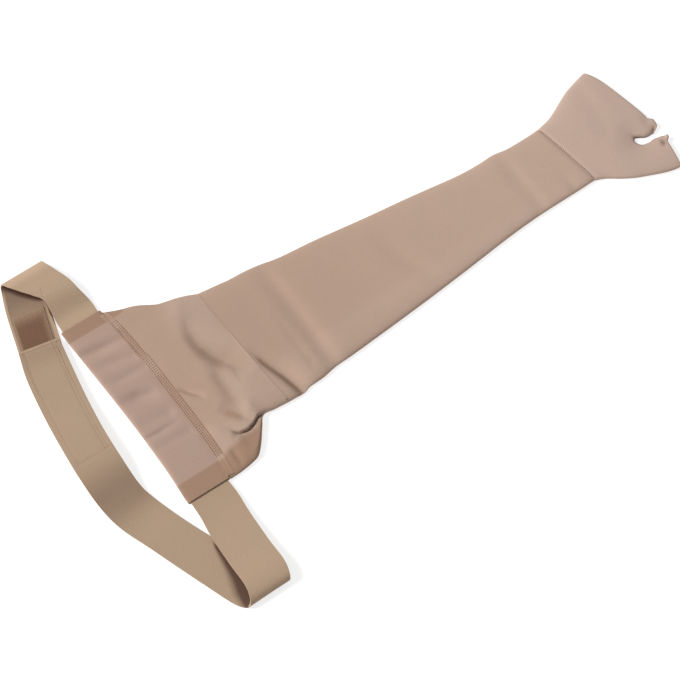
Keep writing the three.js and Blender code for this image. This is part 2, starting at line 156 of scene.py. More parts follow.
# A strap's two edges, along the middle of its thickness: ax, ay, az, bx, by, bz.
UPPER_STRAP_EDGES = (
    (-595.6, 110.0, 2.8, -549.6, 108.0, 2.8),
    (-595.6, 121.0, 2.8, -549.6, 119.0, 2.8),
    (-595.6, 132.0, 2.9, -549.6, 130.0, 2.9),
    (-594.8, 147.2, 3.6, -549.6, 145.8, 3.5),
    (-593.3, 170.4, 11.4, -553.7, 164.0, 9.8),
    (-600.8, 183.0, 12.8, -556.7, 179.1, 12.2),
    (-609.8, 194.8, 13.2, -562.2, 193.9, 13.0),
    (-618.0, 206.6, 13.0, -567.2, 206.9, 13.0),
    (-623.0, 216.5, 7.4, -570.6, 216.6, 7.2),
    (-627.4, 208.4, 1.4, -575.6, 206.0, 1.3),
    (-632.4, 195.4, 0.9, -581.6, 190.0, 0.9),
    (-638.0, 178.0, 0.9, -589.2, 170.0, 0.9),
    (-649.0, 137.0, 0.9, -601.0, 128.0, 0.9),
    (-657.4, 104.0, 0.9, -608.6, 98.6, 0.9),
    (-662.4, 72.0, 0.9, -613.4, 68.0, 0.9),
)

LOWER_STRAP_EDGES = (
    (-587.8, -98.0, 2.8, -540.6, -98.0, 2.8),
    (-587.8, -109.0, 2.8, -540.6, -109.0, 2.8),
    (-587.8, -121.0, 2.9, -540.4, -121.0, 2.9),
    (-588.4, -141.5, 3.6, -539.7, -140.5, 3.4),
    (-591.2, -166.0, 5.8, -541.5, -164.4, 5.5),
    (-592.6, -203.2, 10.2, -542.8, -203.3, 9.8),
    (-592.6, -233.5, 13.6, -542.5, -233.6, 13.0),
    (-595.9, -248.9, 12.4, -545.8, -249.1, 12.0),
    (-600.1, -254.2, 7.0, -549.6, -253.6, 6.8),
    (-605.4, -251.0, 2.6, -554.0, -246.6, 2.4),
    (-613.0, -239.0, 0.9, -565.6, -224.0, 0.9),
    (-627.0, -203.6, 0.9, -579.6, -189.0, 0.9),
    (-637.8, -175.6, 0.9, -591.4, -162.0, 0.9),
    (-651.6, -139.0, 1.1, -605.4, -127.0, 1.0),
    (-665.6, -102.4, 1.4, -617.2, -91.8, 1.2),
    (-671.8, -71.8, 5.4, -622.2, -69.8, 5.0),
    (-673.4, -34.4, 12.6, -622.8, -34.4, 12.2),
    (-671.0, 8.0, 11.4, -620.6, 6.0, 11.0),
    (-666.4, 54.0, 7.6, -615.2, 50.0, 7.4),
    (-659.2, 101.0, 6.0, -607.6, 97.0, 6.0),
    (-649.8, 135.0, 5.6, -602.8, 126.0, 5.6),
)

# Creases: points (x, y, depth, spread to the right, spread to the left), looking along the crease.
# A point without spreads has those of the point before it. A depth below 0 is a ridge.
ARM_CREASES = (
    (
        (-438, -4, 0, 3, 8), (-434, -18, 1.4, 3.2, 9), (-430.5, -30, 3, 4.2, 10),
        (-426, -40, 4.4, 5.2, 11), (-422, -50, 5.2, 5.8, 12), (-419, -60, 5.6, 6, 12),
        (-416.5, -70, 5.8), (-414, -82, 5.8),
    ),
    (
        (-371, 80, 1, 12, 10), (-370, 40, 1.7), (-369, 0, 2), (-368, -50, 2.3, 11, 10),
        (-367, -76, 1.8),
    ),
    ((-391, 20, 0, 4, 6), (-390, -10, 0.4), (-389, -60, 0.5)),
    ((-240, 24, 0.4, 10, 12), (-234, -5, 0.9), (-222, -30, 0.9), (-212, -52, 0.4)),
    ((-67, 40, 0.6, 12, 8), (-65, 10, 1.2), (-64, -20, 1), (-64, -48, 1.2, 10, 8)),
    ((-22, -18, 0.1, 5, 7), (-19, -44, 0.9, 4, 6)),
)

HAND_CREASES = (
    ((79, -27.5, 0.8, 1.6, 1.8), (75.5, -24.5, 0.3)),
    ((101.5, -50.5, 1.2, 2.4, 2.4), (100, -56, 1.4)),
    ((62, 50, 0.4, 12, 9), (55, -10, 0.5)),
)

CAP_CREASES = (
    (
        (-468, 88, 0, 6, 14), (-473.5, 66, 1, 7, 15), (-479, 50, 2.2, 8, 16),
        (-480, 36, 3.4, 8.5, 17), (-477, 22, 4.5, 9.5, 18), (-472.5, 10, 5.1, 10, 18),
        (-467, 0, 4.8, 9.5, 17), (-461, -9, 3.4, 8, 15), (-455, -18, 1.7, 7, 14), (-450, -30, 0),
    ),
    (
        (-478, 6, 0, 9, 16), (-481, -12, 2.2, 10, 16), (-482, -32, 2.4), (-483, -48, 1.5),
        (-484, -60, 0, 9, 14),
    ),
    ((-464, -6, 0, 3, 8), (-464, -20, 0.6), (-465, -38, 0)),
    ((-530, 1, 0, 2.4, 3.6), (-522, -9, 1.9), (-515, -18, 1.6, 2.4, 4), (-507, -29, 0, 3, 4)),
    ((-506, -47, 0, 5, 12), (-496, -54, 1.8, 6, 12), (-488, -63, 3), (-483, -73, 1.2, 5, 10)),
    ((-520, 92, 0.5, 8, 8), (-488, 84, 0.7)),
    ((-519, -92, 0, 3, 4), (-518, -98, 1.2), (-518, -112, 1.2)),
    ((-530, -58, 0, 5, 8), (-521, -70, -1.5), (-511, -81, -1.2, 5, 7), (-507, -86, 0)),
)

BAND_CREASES = (
    ((-594, 92.5, 2.2, 8, 6), (-572, 89, 2.8), (-548, 86, 1.6)),
    ((-592, 72, 0.9, 7, 7), (-570, 67, 1.7), (-548, 61, 1.2)),
    ((-588, 48, 0.5, 6, 6), (-570, 44, 1.4), (-546, 43, 0.9)),
    ((-592, 21, 0.3, 8, 7), (-580, 19, 1.9), (-568, 16, 3.4), (-556, 12, 2.6), (-546, 9, 0.8)),
    ((-580, -15, 0.6, 7, 7), (-552, -19, 1.2)),
    ((-592, -31, 1, 4, 2.4), (-572, -32.5, 1.3), (-552, -32, 0.6, 4, 3), (-545, -31, 0.2)),
    ((-584, -48, 0.5, 6, 5), (-546, -50, 0.8)),
)

# The tuck beside the armhole: its foot runs along these points, and the cloth outside it lies low.
TUCK_FOOT = (
    (-509, -77.6), (-505.5, -80.2), (-500, -83), (-490, -84.6), (-481, -81.6), (-474, -77.4),
    (-466, -77.2), (-460, -78),
)
TUCK_FADE = 12
TUCK_SLOPE = 2.4
TUCK_START_SLOPE = 7  # how much wider the slope is where the tuck starts
TUCK_START_END = -497
TUCK_LEAN = 2.2  # how far the tuck's lip leans out over its foot
TUCK_LIP = 9  # how wide the lip is
FLAP_TOP = 3.4
FLAP_RISE = 4.4  # how far the flap rises outward from the tuck's foot
FLAP_RISE_WIDTH = 4

# The armhole is an ellipse cut out of the cap's underside, from the band's seam.
ARMHOLE_DEPTH = 66
ARMHOLE_HALF_WIDTH = 98
ARMHOLE_CENTRE_Y = 4
ARMHOLE_SEAM_X = -542

FOLD_HEIGHT = 2.7  # a laid fold's widest place is this high
CLOTH_SQUARENESS = 3.6  # how soon laid cloth is at its full height, going in from a fold
BAND_SQUARENESS = 7
FOLD_STEEPNESS = 0.35  # how much a fold's height counts when points are spread across a tube
BOW_POWER = 4
SEAM_GAP = 0.3
WRIST_DIP = 0.9  # how far the wrist seam sinks in
WRIST_DIP_SHARE = 0.012
WRIST_DIP_WIDTH = 2.6

HAND_REACH = 45  # half the wrist's laid width
HAND_UNEVENNESS = 0.25
UNDERSIDE_UV = 200  # the hand's underside has its UV map this far to the side
SLIT_REACH = 5
SLIT_POWER = 2.4
SLIT_LOW = 0.5  # how much of its height the cloth keeps right beside the slit
SLIT_SPREAD = (-6, 30)  # the cloth is back at its full height within these distances
SLIT_FOLD_SHARE = 0.6  # the slit's folded sides are this much as high as the others
SLIT_FOLD_SPREAD = 9

# A corner beside the slit, where the seam's end curls forward and up: it is at a table's near side
# when its side is 1 and at the far side when it is -1.
Nub = namedtuple("Nub", "side width reach")
FINGER_NUB = Nub(side=1, width=14, reach=4.8)
THUMB_NUB = Nub(side=-1, width=8, reach=4.4)
NUB_RISE = 0.9
NUB_SOFTNESS = 5
NUB_FADE = 5

STRAP_WIDTH = 50
# Places across a strap, closer together at its edges and at the lines it is sewn along.
STRAP_COLUMNS = np.array(
    (0, 0.008, 0.02, 0.04, 0.07, 0.085, 0.1, 0.115, 0.125, 0.14, 0.155, 0.17, 0.2)
    + tuple(np.linspace(0.25, 0.75, 11))
    + (0.785, 0.8, 0.81, 0.82, 0.83, 0.845, 0.86, 0.875, 0.885, 0.895, 0.91, 0.93, 0.96)
    + (0.98, 0.992, 1)
)
TAPE_COLUMNS = np.array((0, 0.012, 0.03, *np.linspace(0.08, 0.92, 15), 0.97, 0.988, 1))
TAPE_SUNK = 0.15  # how far a sewn tape is drawn into the webbing
HOOK_TAPE_TOP = (0.788, 0.818)  # the hook tape's upper end fades in between these places
HOOK_PLACES = (0.792, 0.986)
HOOK_INSET = (6.6, 9)
HOOK_PITCH = (2.0, 1.9)
HOOK_HEIGHT = 0.6
HOOK_RADII = (0.34, 0.2)
HOOK_LEAN = math.radians(32)
HOOK_AXIS = Vector((0.27, 0.96, 0))

# Where folds hold the light off the cloth: a reach, an amount and the points of a line.
ARM_SHADES = ((3.4, 0.6, (-435, -24), (-429.5, -42), (-424.5, -56), (-421, -70), (-419, -80)),)
CAP_SHADES = (
    (8, 0.35, (-486, 42), (-484, 24), (-478, 8), (-472, -4), (-465, -15)),
    (9, 0.58, (-482, 20), (-478, 8), (-474, -2)),
    (12, 0.3, (-462, 4), (-455, -12)),
    (6, 0.28, (-487, -12), (-488, -45)),
    (1.5, 0.3, (-527, -4), (-515, -20)),
    (5, 0.6, (-499, -58), (-491, -68)),
)
# Where shade is painted on the hand: along the slit's inner end, and in the dent by the thumb's
# corner.
SLIT_SHADE = ((77.0, -30.8), (78.6, -29.4), (83.6, -31.6), (89.0, -35.2), (95.0, -36.4))
THUMB_DENT = (101.4, -53.2)
THUMB_DENT_SIZE = (2.8, 4)
# The cap's lower hemline, and the edges of the painted shade inside the straps' loops.
LOWER_HEM = ((-546, -530, -515, -498, -480, -467), (-94, -92, -89, -85, -85, -77))
UPPER_LOOP = ((176, 180, 190, 200, 210, 217), (-591, -598, -607.5, -615.5, -621, -625))
UPPER_LOOP_BELOW = ((140, 145, 155, 165, 173), (-598, -597, -595.4, -593.8, -592))
LOWER_LOOP_Y = (-256, -244, -234, -224, -216, -206, -186, -170)
LOWER_LOOP_LIGHT = (-615, -615, -616, -614, -610, -605.5, -600, -595.5)
LOWER_LOOP_DARK = (-604, -602, -600.5, -597.5, -596, -595, -593.5, -592.5)

# A running stitch: its length, the gap to the next, the thread's width and how far it stands up.
Stitch = namedtuple("Stitch", "length gap width raised")
FLAT_SEAM_STITCH = Stitch(2.3, 0.6, 0.8, 0.1)
UPPER_ARM_STITCH = Stitch(1.6, 1.2, 0.45, 0.0)
STRAP_STITCH = Stitch(2.2, 0.9, 0.6, 0.05)
WRIST_STITCH = Stitch(3.0, 2.4, 0.6, 0.0)  # across the seam, with the gap as its pitch
NEEDLE_LINES = (-3.4, -1.1, 1.2, 3.5)
NEEDLE_WIDTH = 0.6
FLAT_SEAM_HALF = 4.8
FLAT_SEAM_EDGE = 1.4
FLAT_SEAM_ENDS = (123.5, -118.5)
FLAT_SEAM_SEWN = (-93, 110)
FLAT_SEAM_THREADS = (6 * MM, 1.6 * MM)
ARM_SEAM_HALF = 1.3
ARM_SEAM_LINES = (-1.1, 1.1)
# The two seams across the arm, each from its thumb side: x and y where it starts, how far it goes
# in x and y, how far its middle bows, the shares of it that are sewn, and its number of points.
UPPER_ARM_SEAM = (-434.85, -80.8, -12.0, 166.4, -2, (0.012, 0.988), 90)
WRIST_SEAM = (7.5, -47.4, -15.5, 89.6, 0.6, (0.02, 0.98), 60)

STAGE_BRIGHTNESS = 1.2  # how much brighter cloth shows than its own colour
VIEW_MIDDLE = (-345.45, -49.31)
KEY_DIRECTION = (-0.83, 0.56, 0.70)
SENSOR = 36
CLIP_END = 50
FLOOR_SIZE = 6
FLOOR_DROP = 0.2 * MM  # the floor is this far below the cloth, so that the two never share a face

# ---------------------------------------------------------------- reading tables


def smooth(value, low, high):
    """0 below low, 1 above high, with a soft start and end between them."""
    share = np.clip((value - low) / (high - low), 0, 1)
    return share * share * (3 - 2 * share)


def hump(value, centre, width):
    """1 at centre, and close to 0 from two widths away."""
    return np.exp(-(((value - centre) / width) ** 2))


def read_table(rows, place):
    """A table's columns at places along it, 0 at its first row and 1 at its last, smoothly."""
    values = np.array(rows, float)
    before_first = 2 * values[0] - values[1]
    after_last = 2 * values[-1] - values[-2]
    values = np.vstack([before_first, values, after_last])
    at = np.clip(np.asarray(place, float), 0, 1) * (len(rows) - 1)
    first = np.minimum(at.astype(int), len(rows) - 2)
    part = (at - first)[:, None]
    a, b, c, d = (values[first + step] for step in range(4))
    linear = c - a
    square = 2 * a - 5 * b + 4 * c - d
    cube = 3 * b - a - 3 * c + d
    return (2 * b + (linear + (square + cube * part) * part) * part).T / 2


def crease_rows(crease):
    """A crease's points, where one without spreads has those of the point before it."""
    rows = [crease[0]]
    for point in crease[1:]:
        rows.append((*point, *rows[-1][3:])[:5])
    return np.array(rows, float)


def pressed_down(creases, x, y):
    """How far the creases press the cloth down at each (x, y)."""
    total = np.zeros_like(x)
    for crease in creases:
        rows = crease_rows(crease)
        (start_x, start_y), (end_x, end_y) = rows[0, :2].copy(), rows[-1, :2].copy()
        length = math.hypot(end_x - start_x, end_y - start_y)
        ahead_x, ahead_y = (end_x - start_x) / length, (end_y - start_y) / length

        def turned(at_x, at_y):
            off_x, off_y = at_x - start_x, at_y - start_y
            return off_x * ahead_x + off_y * ahead_y, off_y * ahead_x - off_x * ahead_y

        rows[:, 0], rows[:, 1] = turned(rows[:, 0], rows[:, 1])
        along, beside = turned(x, y)
        place = np.interp(along, rows[:, 0], np.linspace(0, 1, len(rows)))
        line = read_table(rows, place)
        step = read_table(rows, place + 0.01) - read_table(rows, place - 0.01)
        away = (beside - line[1]) * step[0] / np.hypot(step[0], step[1])
        beyond = along - np.clip(along, 0, length)
        spread = np.where(away > 0, line[4], line[3])
        total += line[2] * np.exp(-((away / spread) ** 2) - (beyond / line[3]) ** 2)
    return total


def unevenness(x, y):
    """The slight rise and fall of cloth laid out by hand, about 1 at most."""
    broad = np.sin(x / 31 + 0.6) * np.sin(y / 24 + 1.1)
    cross = np.sin((x + 1.7 * y) / 19 + 2.0) * np.sin((y - 0.4 * x) / 37)
    return 0.6 * broad + 0.4 * cross


def distance_to(line, x, y):
    """The distance from each (x, y) to a line of points."""
    nearest = np.full_like(x, np.inf)
    for (x1, y1), (x2, y2) in zip(line, line[1:]):
        along_x, along_y = x2 - x1, y2 - y1
        share = ((x - x1) * along_x + (y - y1) * along_y) / (along_x**2 + along_y**2)
        held = np.clip(share, 0, 1)
        away = np.hypot(x - x1 - along_x * held, y - y1 - along_y * held)
        nearest = np.minimum(nearest, away)
    return nearest


def run_of(points):
    """The distance run along rows of coordinates, from their first point."""
    steps = np.sqrt((np.diff(points, axis=1) ** 2).sum(axis=0))
    return np.concatenate([[0], np.cumsum(steps)])


def across_places(count, squareness=CLOTH_SQUARENESS):
    """Places across a laid tube, from -1 to 1, closer together near its folds."""
    turn = np.linspace(math.pi, 0, 4001)
    power = 2 / squareness
    flat = np.sign(np.cos(turn)) * np.abs(np.cos(turn)) ** power
    run = run_of(np.stack([flat, FOLD_STEEPNESS * np.sin(turn) ** power]))
    return np.interp(np.linspace(0, run[-1], count), run, flat)


FINE = np.linspace(0, 1, 2001)  # the places along tubes and straps at which their run is measured


def spread_places(run, count, denser):
    """Places along a tube or strap, even by its run but closer at each (centre, width, weight)."""
    density = np.ones_like(run)
    for centre, width, weight in denser:
        density += weight * hump(run, centre, width)
    total = np.concatenate([[0], np.cumsum(np.diff(run) * (density[1:] + density[:-1]) / 2)])
    return np.interp(np.linspace(0, total[-1], count + 1), total, FINE)


# ---------------------------------------------------------------- sections of the laid cloth


def fold_round(inward, side):
    """Height of the underside at a distance inward from a folded side of that height."""
    lift = np.clip(side - inward, 0, side)
    return side - np.sqrt(np.maximum(side**2 - lift**2, 0))


def fold_rise(distance, reach, power):
    """0 at an edge, 1 at reach and past it, with a laid fold's round shape between."""
    inward = np.clip(distance / reach, 0, 1)
    return (1 - (1 - inward) ** power) ** (1 / power)


def tuck_folded(x, y, z):
    """Lowers the cap's upper cloth to the flap's height outside the tuck, under the tuck's lip."""
    feet_x, feet_y = np.array(TUCK_FOOT, float).T
    inward = y - np.interp(x, feet_x, feet_y)
    share = smooth(x, feet_x[0], feet_x[0] + TUCK_FADE)
    share = share * (1 - smooth(x, feet_x[-1] - TUCK_FADE, feet_x[-1]))
    slope = TUCK_SLOPE + TUCK_START_SLOPE * (1 - smooth(x, feet_x[0], TUCK_START_END))
    inside = smooth(inward, 0, slope)
    flap = FLAP_TOP + FLAP_RISE * smooth(-inward, 0, FLAP_RISE_WIDTH)
    low = z + (np.minimum(z, flap) - z) * (1 - inside) * share
    lip = inside * (1 - smooth(inward, slope, slope + TUCK_LIP))
    return y - TUCK_LEAN * lip * share, low


def points_across(stations, share, further=0.0):
    """x and y between stations' two sides, at shares from -1 to 1, and the width between them."""
    near_x, near_y, far_x, far_y, bow = stations[:5]
    width = np.hypot(far_x - near_x, far_y - near_y)
    side_x, side_y = (far_x - near_x) / width, (far_y - near_y) / width
    beside = share * width / 2
    ahead = bow * (1 - np.abs(share) ** BOW_POWER) + further
    x = (near_x + far_x) / 2 + side_x * beside + side_y * ahead
    return x, (near_y + far_y) / 2 + side_y * beside - side_x * ahead, width


class Tube:
    """A tube of cloth laid flat: its stations, its creases and how it rises from its folds."""

    def __init__(self, stations, creases, squareness=CLOTH_SQUARENESS, uneven=0.3, dip=0.0):
        self.stations = stations
        self.creases = creases
        self.squareness = squareness
        self.uneven = uneven
        self.dip = dip
        near_x, near_y, far_x, far_y = read_table(stations, FINE)[:4]
        self.run = run_of(np.stack([(near_x + far_x) / 2, (near_y + far_y) / 2]))

    def layer(self, along, share, upper):
        """Points of the upper cloth, or of the cloth that it lies on, and the tube's width."""
        stations = read_table(self.stations, along)
        x, y, width = points_across(stations, share)
        top = stations[5]
        side = np.minimum(FOLD_HEIGHT, top / 2)
        if not upper:
            return x, y, fold_round((1 - np.abs(share)) * width / 2, side), width
        relief = self.uneven * unevenness(x, y) - pressed_down(self.creases, x, y)
        relief -= self.dip * hump(along, 1, WRIST_DIP_SHARE)
        rise = (1 - np.abs(share) ** self.squareness) ** (1 / self.squareness)
        return x, y, side + rise * (top - side + relief), width


def station_x(station, y, bow=0):
    """The x, at y, of the bowed line between a station's two sides."""
    near_x, near_y, far_x, far_y = station[:4]
    share = (y - near_y) / (far_y - near_y)
    return near_x + (far_x - near_x) * share + bow * (1 - (2 * share - 1) ** BOW_POWER)


def cap_seam_x(y):
    """The x of the seam between cap and band at y."""
    return station_x(CAP_STATIONS[0], y, CAP_STATIONS[0][4])


def band_stations():
    """The band as a tube across the cap: from its fold at the seam to its outer fold."""
    for y, outer_x, top in read_table(BAND_STATIONS, np.linspace(0, 1, 23)).T:
        yield cap_seam_x(y) - SEAM_GAP, y, outer_x, y, 0, top


ARM_TUBE = Tube(ARM_STATIONS, ARM_CREASES, dip=WRIST_DIP)
CAP_TUBE = Tube(CAP_STATIONS, CAP_CREASES)
BAND_TUBE = Tube(list(band_stations()), BAND_CREASES, BAND_SQUARENESS, uneven=0.2)


def armhole_starts(tube, across):
    """The place along the cap, at each place across, where its underside starts."""
    fine = np.linspace(0, 1, 1201)
    starts = []
    for share in across:
        x, y = tube.layer(fine, np.full_like(fine, share), False)[:2]
        off_x = (x - ARMHOLE_SEAM_X) / ARMHOLE_DEPTH
        off_y = (y - ARMHOLE_CENTRE_Y) / ARMHOLE_HALF_WIDTH
        within = np.nonzero(off_x**2 + off_y**2 < 1)[0]
        starts.append(fine[within[-1]] if len(within) else 0.0)
    return np.convolve(np.pad(starts, 2, "edge"), (0.1, 0.2, 0.4, 0.2, 0.1), "valid")


class Strap:
    """A strap: the surface in the middle of its thickness, between its two edges."""

    def __init__(self, edges):
        self.edges = edges
        both = read_table(edges, FINE)
        self.run = run_of((both[:3] + both[3:]) / 2)

    def points(self, place, share, inset=(0, 0), lift=0.0):
        """Points and normals of a strip on it: share 0 is its outer edge and 1 its inner.

        inset is how far the strip's two edges are in from the strap's, and lift how far it is off
        the middle surface."""
        both = read_table(self.edges, place).T
        a, b = both[:, :3], both[:, 3:]
        across = b - a
        across /= np.linalg.norm(across, axis=1)[:, None]
        before = read_table(self.edges, np.maximum(place - 0.002, 0))
        after = read_table(self.edges, np.minimum(place + 0.002, 1))
        ahead = ((after[:3] + after[3:]) - (before[:3] + before[3:])).T
        normal = np.cross(ahead, across)
        normal /= np.linalg.norm(normal, axis=1)[:, None]
        outer, inner = inset
        points = a + across * outer + (b - a - across * (outer + inner)) * share[:, None]
        return points + normal * lift, normal


UPPER_STRAP = Strap(UPPER_STRAP_EDGES)
LOWER_STRAP = Strap(LOWER_STRAP_EDGES)
# Rows of stitches on the straps: the places along and the shares across that each runs between.
STRAP_SEAMS = (
    (LOWER_STRAP, (0.82, 0.992), (0.14, 0.14)),
    (LOWER_STRAP, (0.82, 0.992), (0.82, 0.82)),
    (LOWER_STRAP, (0.82, 0.992), (0.89, 0.89)),
    (UPPER_STRAP, (0.73, 0.99), (0.07, 0.07)),
    (UPPER_STRAP, (0.73, 0.99), (0.88, 0.88)),
    (LOWER_STRAP, (0.983, 0.983), (0.62, 0.89)),
    (LOWER_STRAP, (0.82, 0.82), (0.14, 0.89)),
)

# ---------------------------------------------------------------- tones of the cloth


def shaded(shades, x, y):
    """How much painted shade darkens the cloth along lines of points, each with a reach and an
    amount.
    """
    dark = np.zeros_like(x)
    for reach, amount, *line in shades:
        dark = np.maximum(dark, amount * hump(distance_to(line, x, y), 0, reach))
    return dark


def hand_tone(x, y):
    """Painted shade along the slit's inner end and in the dent beside the thumb's corner."""
    line = hump(distance_to(SLIT_SHADE, x, y), 0, 1.3) * (1 - smooth(x, 82, 93))
    dent = hump(x, THUMB_DENT[0], THUMB_DENT_SIZE[0]) * hump(y, THUMB_DENT[1], THUMB_DENT_SIZE[1])
    return 0.65 * line + 0.62 * dent


def arm_tone(x, y):
    """The knit is darker toward the shoulder, with painted light along the lower side and painted
    shade along the crease by the upper arm seam.
    """
    tone = 0.13 + 0.28 * smooth(x, -40, -430) - 0.13 * smooth(y, -20, -45)
    return tone + shaded(ARM_SHADES, x, y)


def cap_tone(x, y):
    """1 on the cap's turned side hems, where the cloth is doubled and browner; painted shade over
    the part beside the band, whose slope faces the light, and along the folds and the dent.
    """
    low = np.interp(x, *LOWER_HEM)
    lower = (1 - smooth(y, low - 8, low + 2)) * (1 - smooth(x, -474, -462))
    upper = smooth(y, 111, 114) * (1 - smooth(x, -530, -520))
    broad = 0.36 * (1 - smooth(x, -505, -470)) * smooth(y, -95, -35)
    return np.maximum(np.maximum(lower, upper), broad + shaded(CAP_SHADES, x, y))


def band_tone(x, y):
    """1 on the band's ends, where the cloth is turned in round the straps."""
    return np.maximum(smooth(y, 112.2, 113.6), 1 - smooth(y, -97.6, -96.2))


def upper_strap_tone(at, share, x, y):
    """Painted shade on the webbing past the fold, where the fold shades it, with the selvedges left
    lighter; painted shade deep in the loop and in the narrow gap under its edge; slightly darker
    below y 160 to 180.
    """
    inner = smooth(at, 0.58, 0.66)
    selvedge = smooth(share * STRAP_WIDTH, 2, 4) * smooth((1 - share) * STRAP_WIDTH, 3.5, 6)
    soft = (0.4 + 0.14 * smooth(y, 176, 196)) * selvedge * inner
    edge = np.interp(y, *UPPER_LOOP)
    deep = smooth(x, edge - 10, edge + 5) * smooth(y, 172, 178) * smooth(at, 0.575, 0.6)
    edge = np.interp(y, *UPPER_LOOP_BELOW)
    beneath = smooth(x, edge - 0.6, edge + 0.4) * smooth(y, 138, 146) * inner
    return np.maximum(np.maximum(soft, deep), beneath) + 0.03 * (1 - smooth(y, 160, 180))


def lower_strap_tone(at, share, x, y):
    """Painted shade deep inside the loop, and where the webbing's slope faces away from the light,
    about y -68; the webbing is also a little darker all along, more so at its start, past the fold
    and near its end.
    """
    light = np.interp(y, LOWER_LOOP_Y, LOWER_LOOP_LIGHT)
    dark = np.interp(y, LOWER_LOOP_Y, LOWER_LOOP_DARK)
    deep = np.clip((x - light) / (dark - light), 0, 1) ** 1.9 * (1 - smooth(y, -178, -166))
    low = 0.26 * hump(y, -68, 28) * smooth(at, 0.6, 0.7)
    faint = 0.1 + 0.05 * (1 - smooth(at, 0.15, 0.3)) + 0.03 * smooth(at, 0.42, 0.5)
    end = 0.12 * smooth(at, 0.94, 0.985) * (1 - smooth(at, 0.993, 0.995))
    return np.maximum(0.9 * smooth(at, 0.404, 0.42) * deep, low + faint + end)


def tape_tone(at, share, x, y):
    """A tape's side rims, and the hook tape's top, show more of the webbing's colour."""
    sides = np.maximum(smooth(share, 0.8, 1), 1 - smooth(share, 0, 0.08))
    return np.maximum(0.4 * sides, 0.55 * (1 - smooth(at, *HOOK_TAPE_TOP)))


def grooves(share, lines):
    """How deep stitched lines along a strap are sunk at shares across it, 1 at most."""
    return sum(hump((share - line) * STRAP_WIDTH, 0, 0.8) for line in lines)


def upper_strap_pressed(at, share):
    """The stitched lines sink in beside the hook tape."""
    return 0.08 * smooth(at, 0.72, 0.74) * grooves(share, (0.07, 0.88))


def lower_strap_pressed(at, share):
    """The stitched lines sink in over the loop tape, and the turned end stands up a little."""
    lines = grooves(share, (0.14, 0.82, 0.89)) * smooth(at, 0.815, 0.82)
    cross = hump(at, 0.82, 0.0016) * smooth(share, 0.1, 0.14) * smooth(share, 0.93, 0.89)
    end = smooth(at, 0.991, 0.994) - 2.2 * smooth(at, 0.994, 0.996)
    return 0.16 * lines + 0.2 * cross + 0.25 * end


# ---------------------------------------------------------------- making pieces


def placed(x, y, z):
    """Points in metres, in the frame, from tables' millimetres."""
    return np.stack([x * MM + ORIGIN_X, y * MM + ORIGIN_Y, z * MM], axis=1)


def add_sheet(bm, rows, columns, place):
    """Adds a grid of rows by columns faces to bm and moves its points to place(row, column).

    place gives x, y and z, how far along and across the cloth each point is for the UV map, and
    how much it shows of the material's second colour, 0 to 1."""
    uv_layer = bm.loops.layers.uv.verify()
    # The second colour's share at each point: doubled hems, and painted shade and light where a
    # tone function paints them.
    tone_layer = bm.verts.layers.float.get("hem") or bm.verts.layers.float.new("hem")
    grid = bmesh.ops.create_grid(bm, x_segments=rows, y_segments=columns, size=0.5)["verts"]
    shares = np.array([vert.co[:2] for vert in grid]) + 0.5
    row, column = np.rint(shares * (rows, columns)).astype(int).T
    x, y, z, along, across, tones = place(row, column)
    uvs = np.stack([along, across], axis=1) * MM
    for vert, point, uv, tone in zip(grid, placed(x, y, z), uvs, tones):
        vert.co = point
        vert[tone_layer] = tone
        for loop in vert.link_loops:
            loop[uv_layer].uv = uv


def mesh_object(name, bm):
    """A mesh object of bm with smooth shading, in the scene."""
    mesh = bpy.data.meshes.new(name)
    bm.to_mesh(mesh)
    bm.free()
    mesh.shade_smooth()
    piece = bpy.data.objects.new(name, mesh)
    bpy.context.collection.objects.link(piece)
    return piece


def cloth_object(name, bm, thickness, offset=-1, even=True, softened=0.0):
    """An object of the sheets in bm, welded, turned outward, thickened and softened at its edges.

    An offset of -1 adds the thickness on the inner side and 0 on both."""
    bmesh.ops.remove_doubles(bm, verts=bm.verts, dist=WELD)
    bmesh.ops.recalc_face_normals(bm, faces=bm.faces)
    highest = max(bm.faces, key=lambda face: face.calc_center_median().z)
    if highest.normal.z < 0:
        bmesh.ops.reverse_faces(bm, faces=bm.faces)
    piece = mesh_object(name, bm)
    wall = piece.modifiers.new("thickness", "SOLIDIFY")
    wall.thickness = thickness
    wall.offset = offset
    wall.use_even_offset = even
    wall.use_quality_normals = True
    if softened:
        bevel = piece.modifiers.new("soft_edges", "BEVEL")
        bevel.width = softened
        bevel.segments = 2
        bevel.limit_method = "ANGLE"
        bevel.angle_limit = math.radians(60)
        bevel.profile = 0.5
        bevel.harden_normals = True
    return piece


def belongs(piece, slot, material, *nodes):
    """A finished piece rides on the object's one body and stands for its CAD nodes."""
    piece.data.materials.append(material)
    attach(piece, BODY)
    if nodes:
        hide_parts(*nodes)


def knit_piece(cloth, name, bm, slot, colours, node):
    """Makes the layers in bm into one knitted piece, whose material is named after its slot."""
    piece = cloth_object(name, bm, cloth.knit_thickness, even=False)
    label = slot.replace("_", " ").capitalize()
    belongs(piece, slot, knit_material(cloth, label, colours), node)
    return piece


def tube_cloth(tube, count, denser, across, tone, starts=None, tucked=None):
    """Both layers of a tube, in a new bmesh.

    starts are where the lower layer begins at each place across; tucked moves the upper one."""
    along = spread_places(tube.run, count, denser)
    bm = bmesh.new()
    for upper in (True, False):
        first = np.zeros_like(across) if upper or starts is None else starts

        def place(row, column):
            share, start = across[column], first[column]
            at = start + (1 - start) * along[row]
            x, y, z, width = tube.layer(at, share, upper)
            if tucked and upper:
                y, z = tucked(x, y, z)
            sideways = width * (share / 2 if upper else 1 - share / 2)
            return x, y, z, np.interp(at, FINE, tube.run), sideways, tone(x, y)

        add_sheet(bm, count, len(across) - 1, place)
    return bm


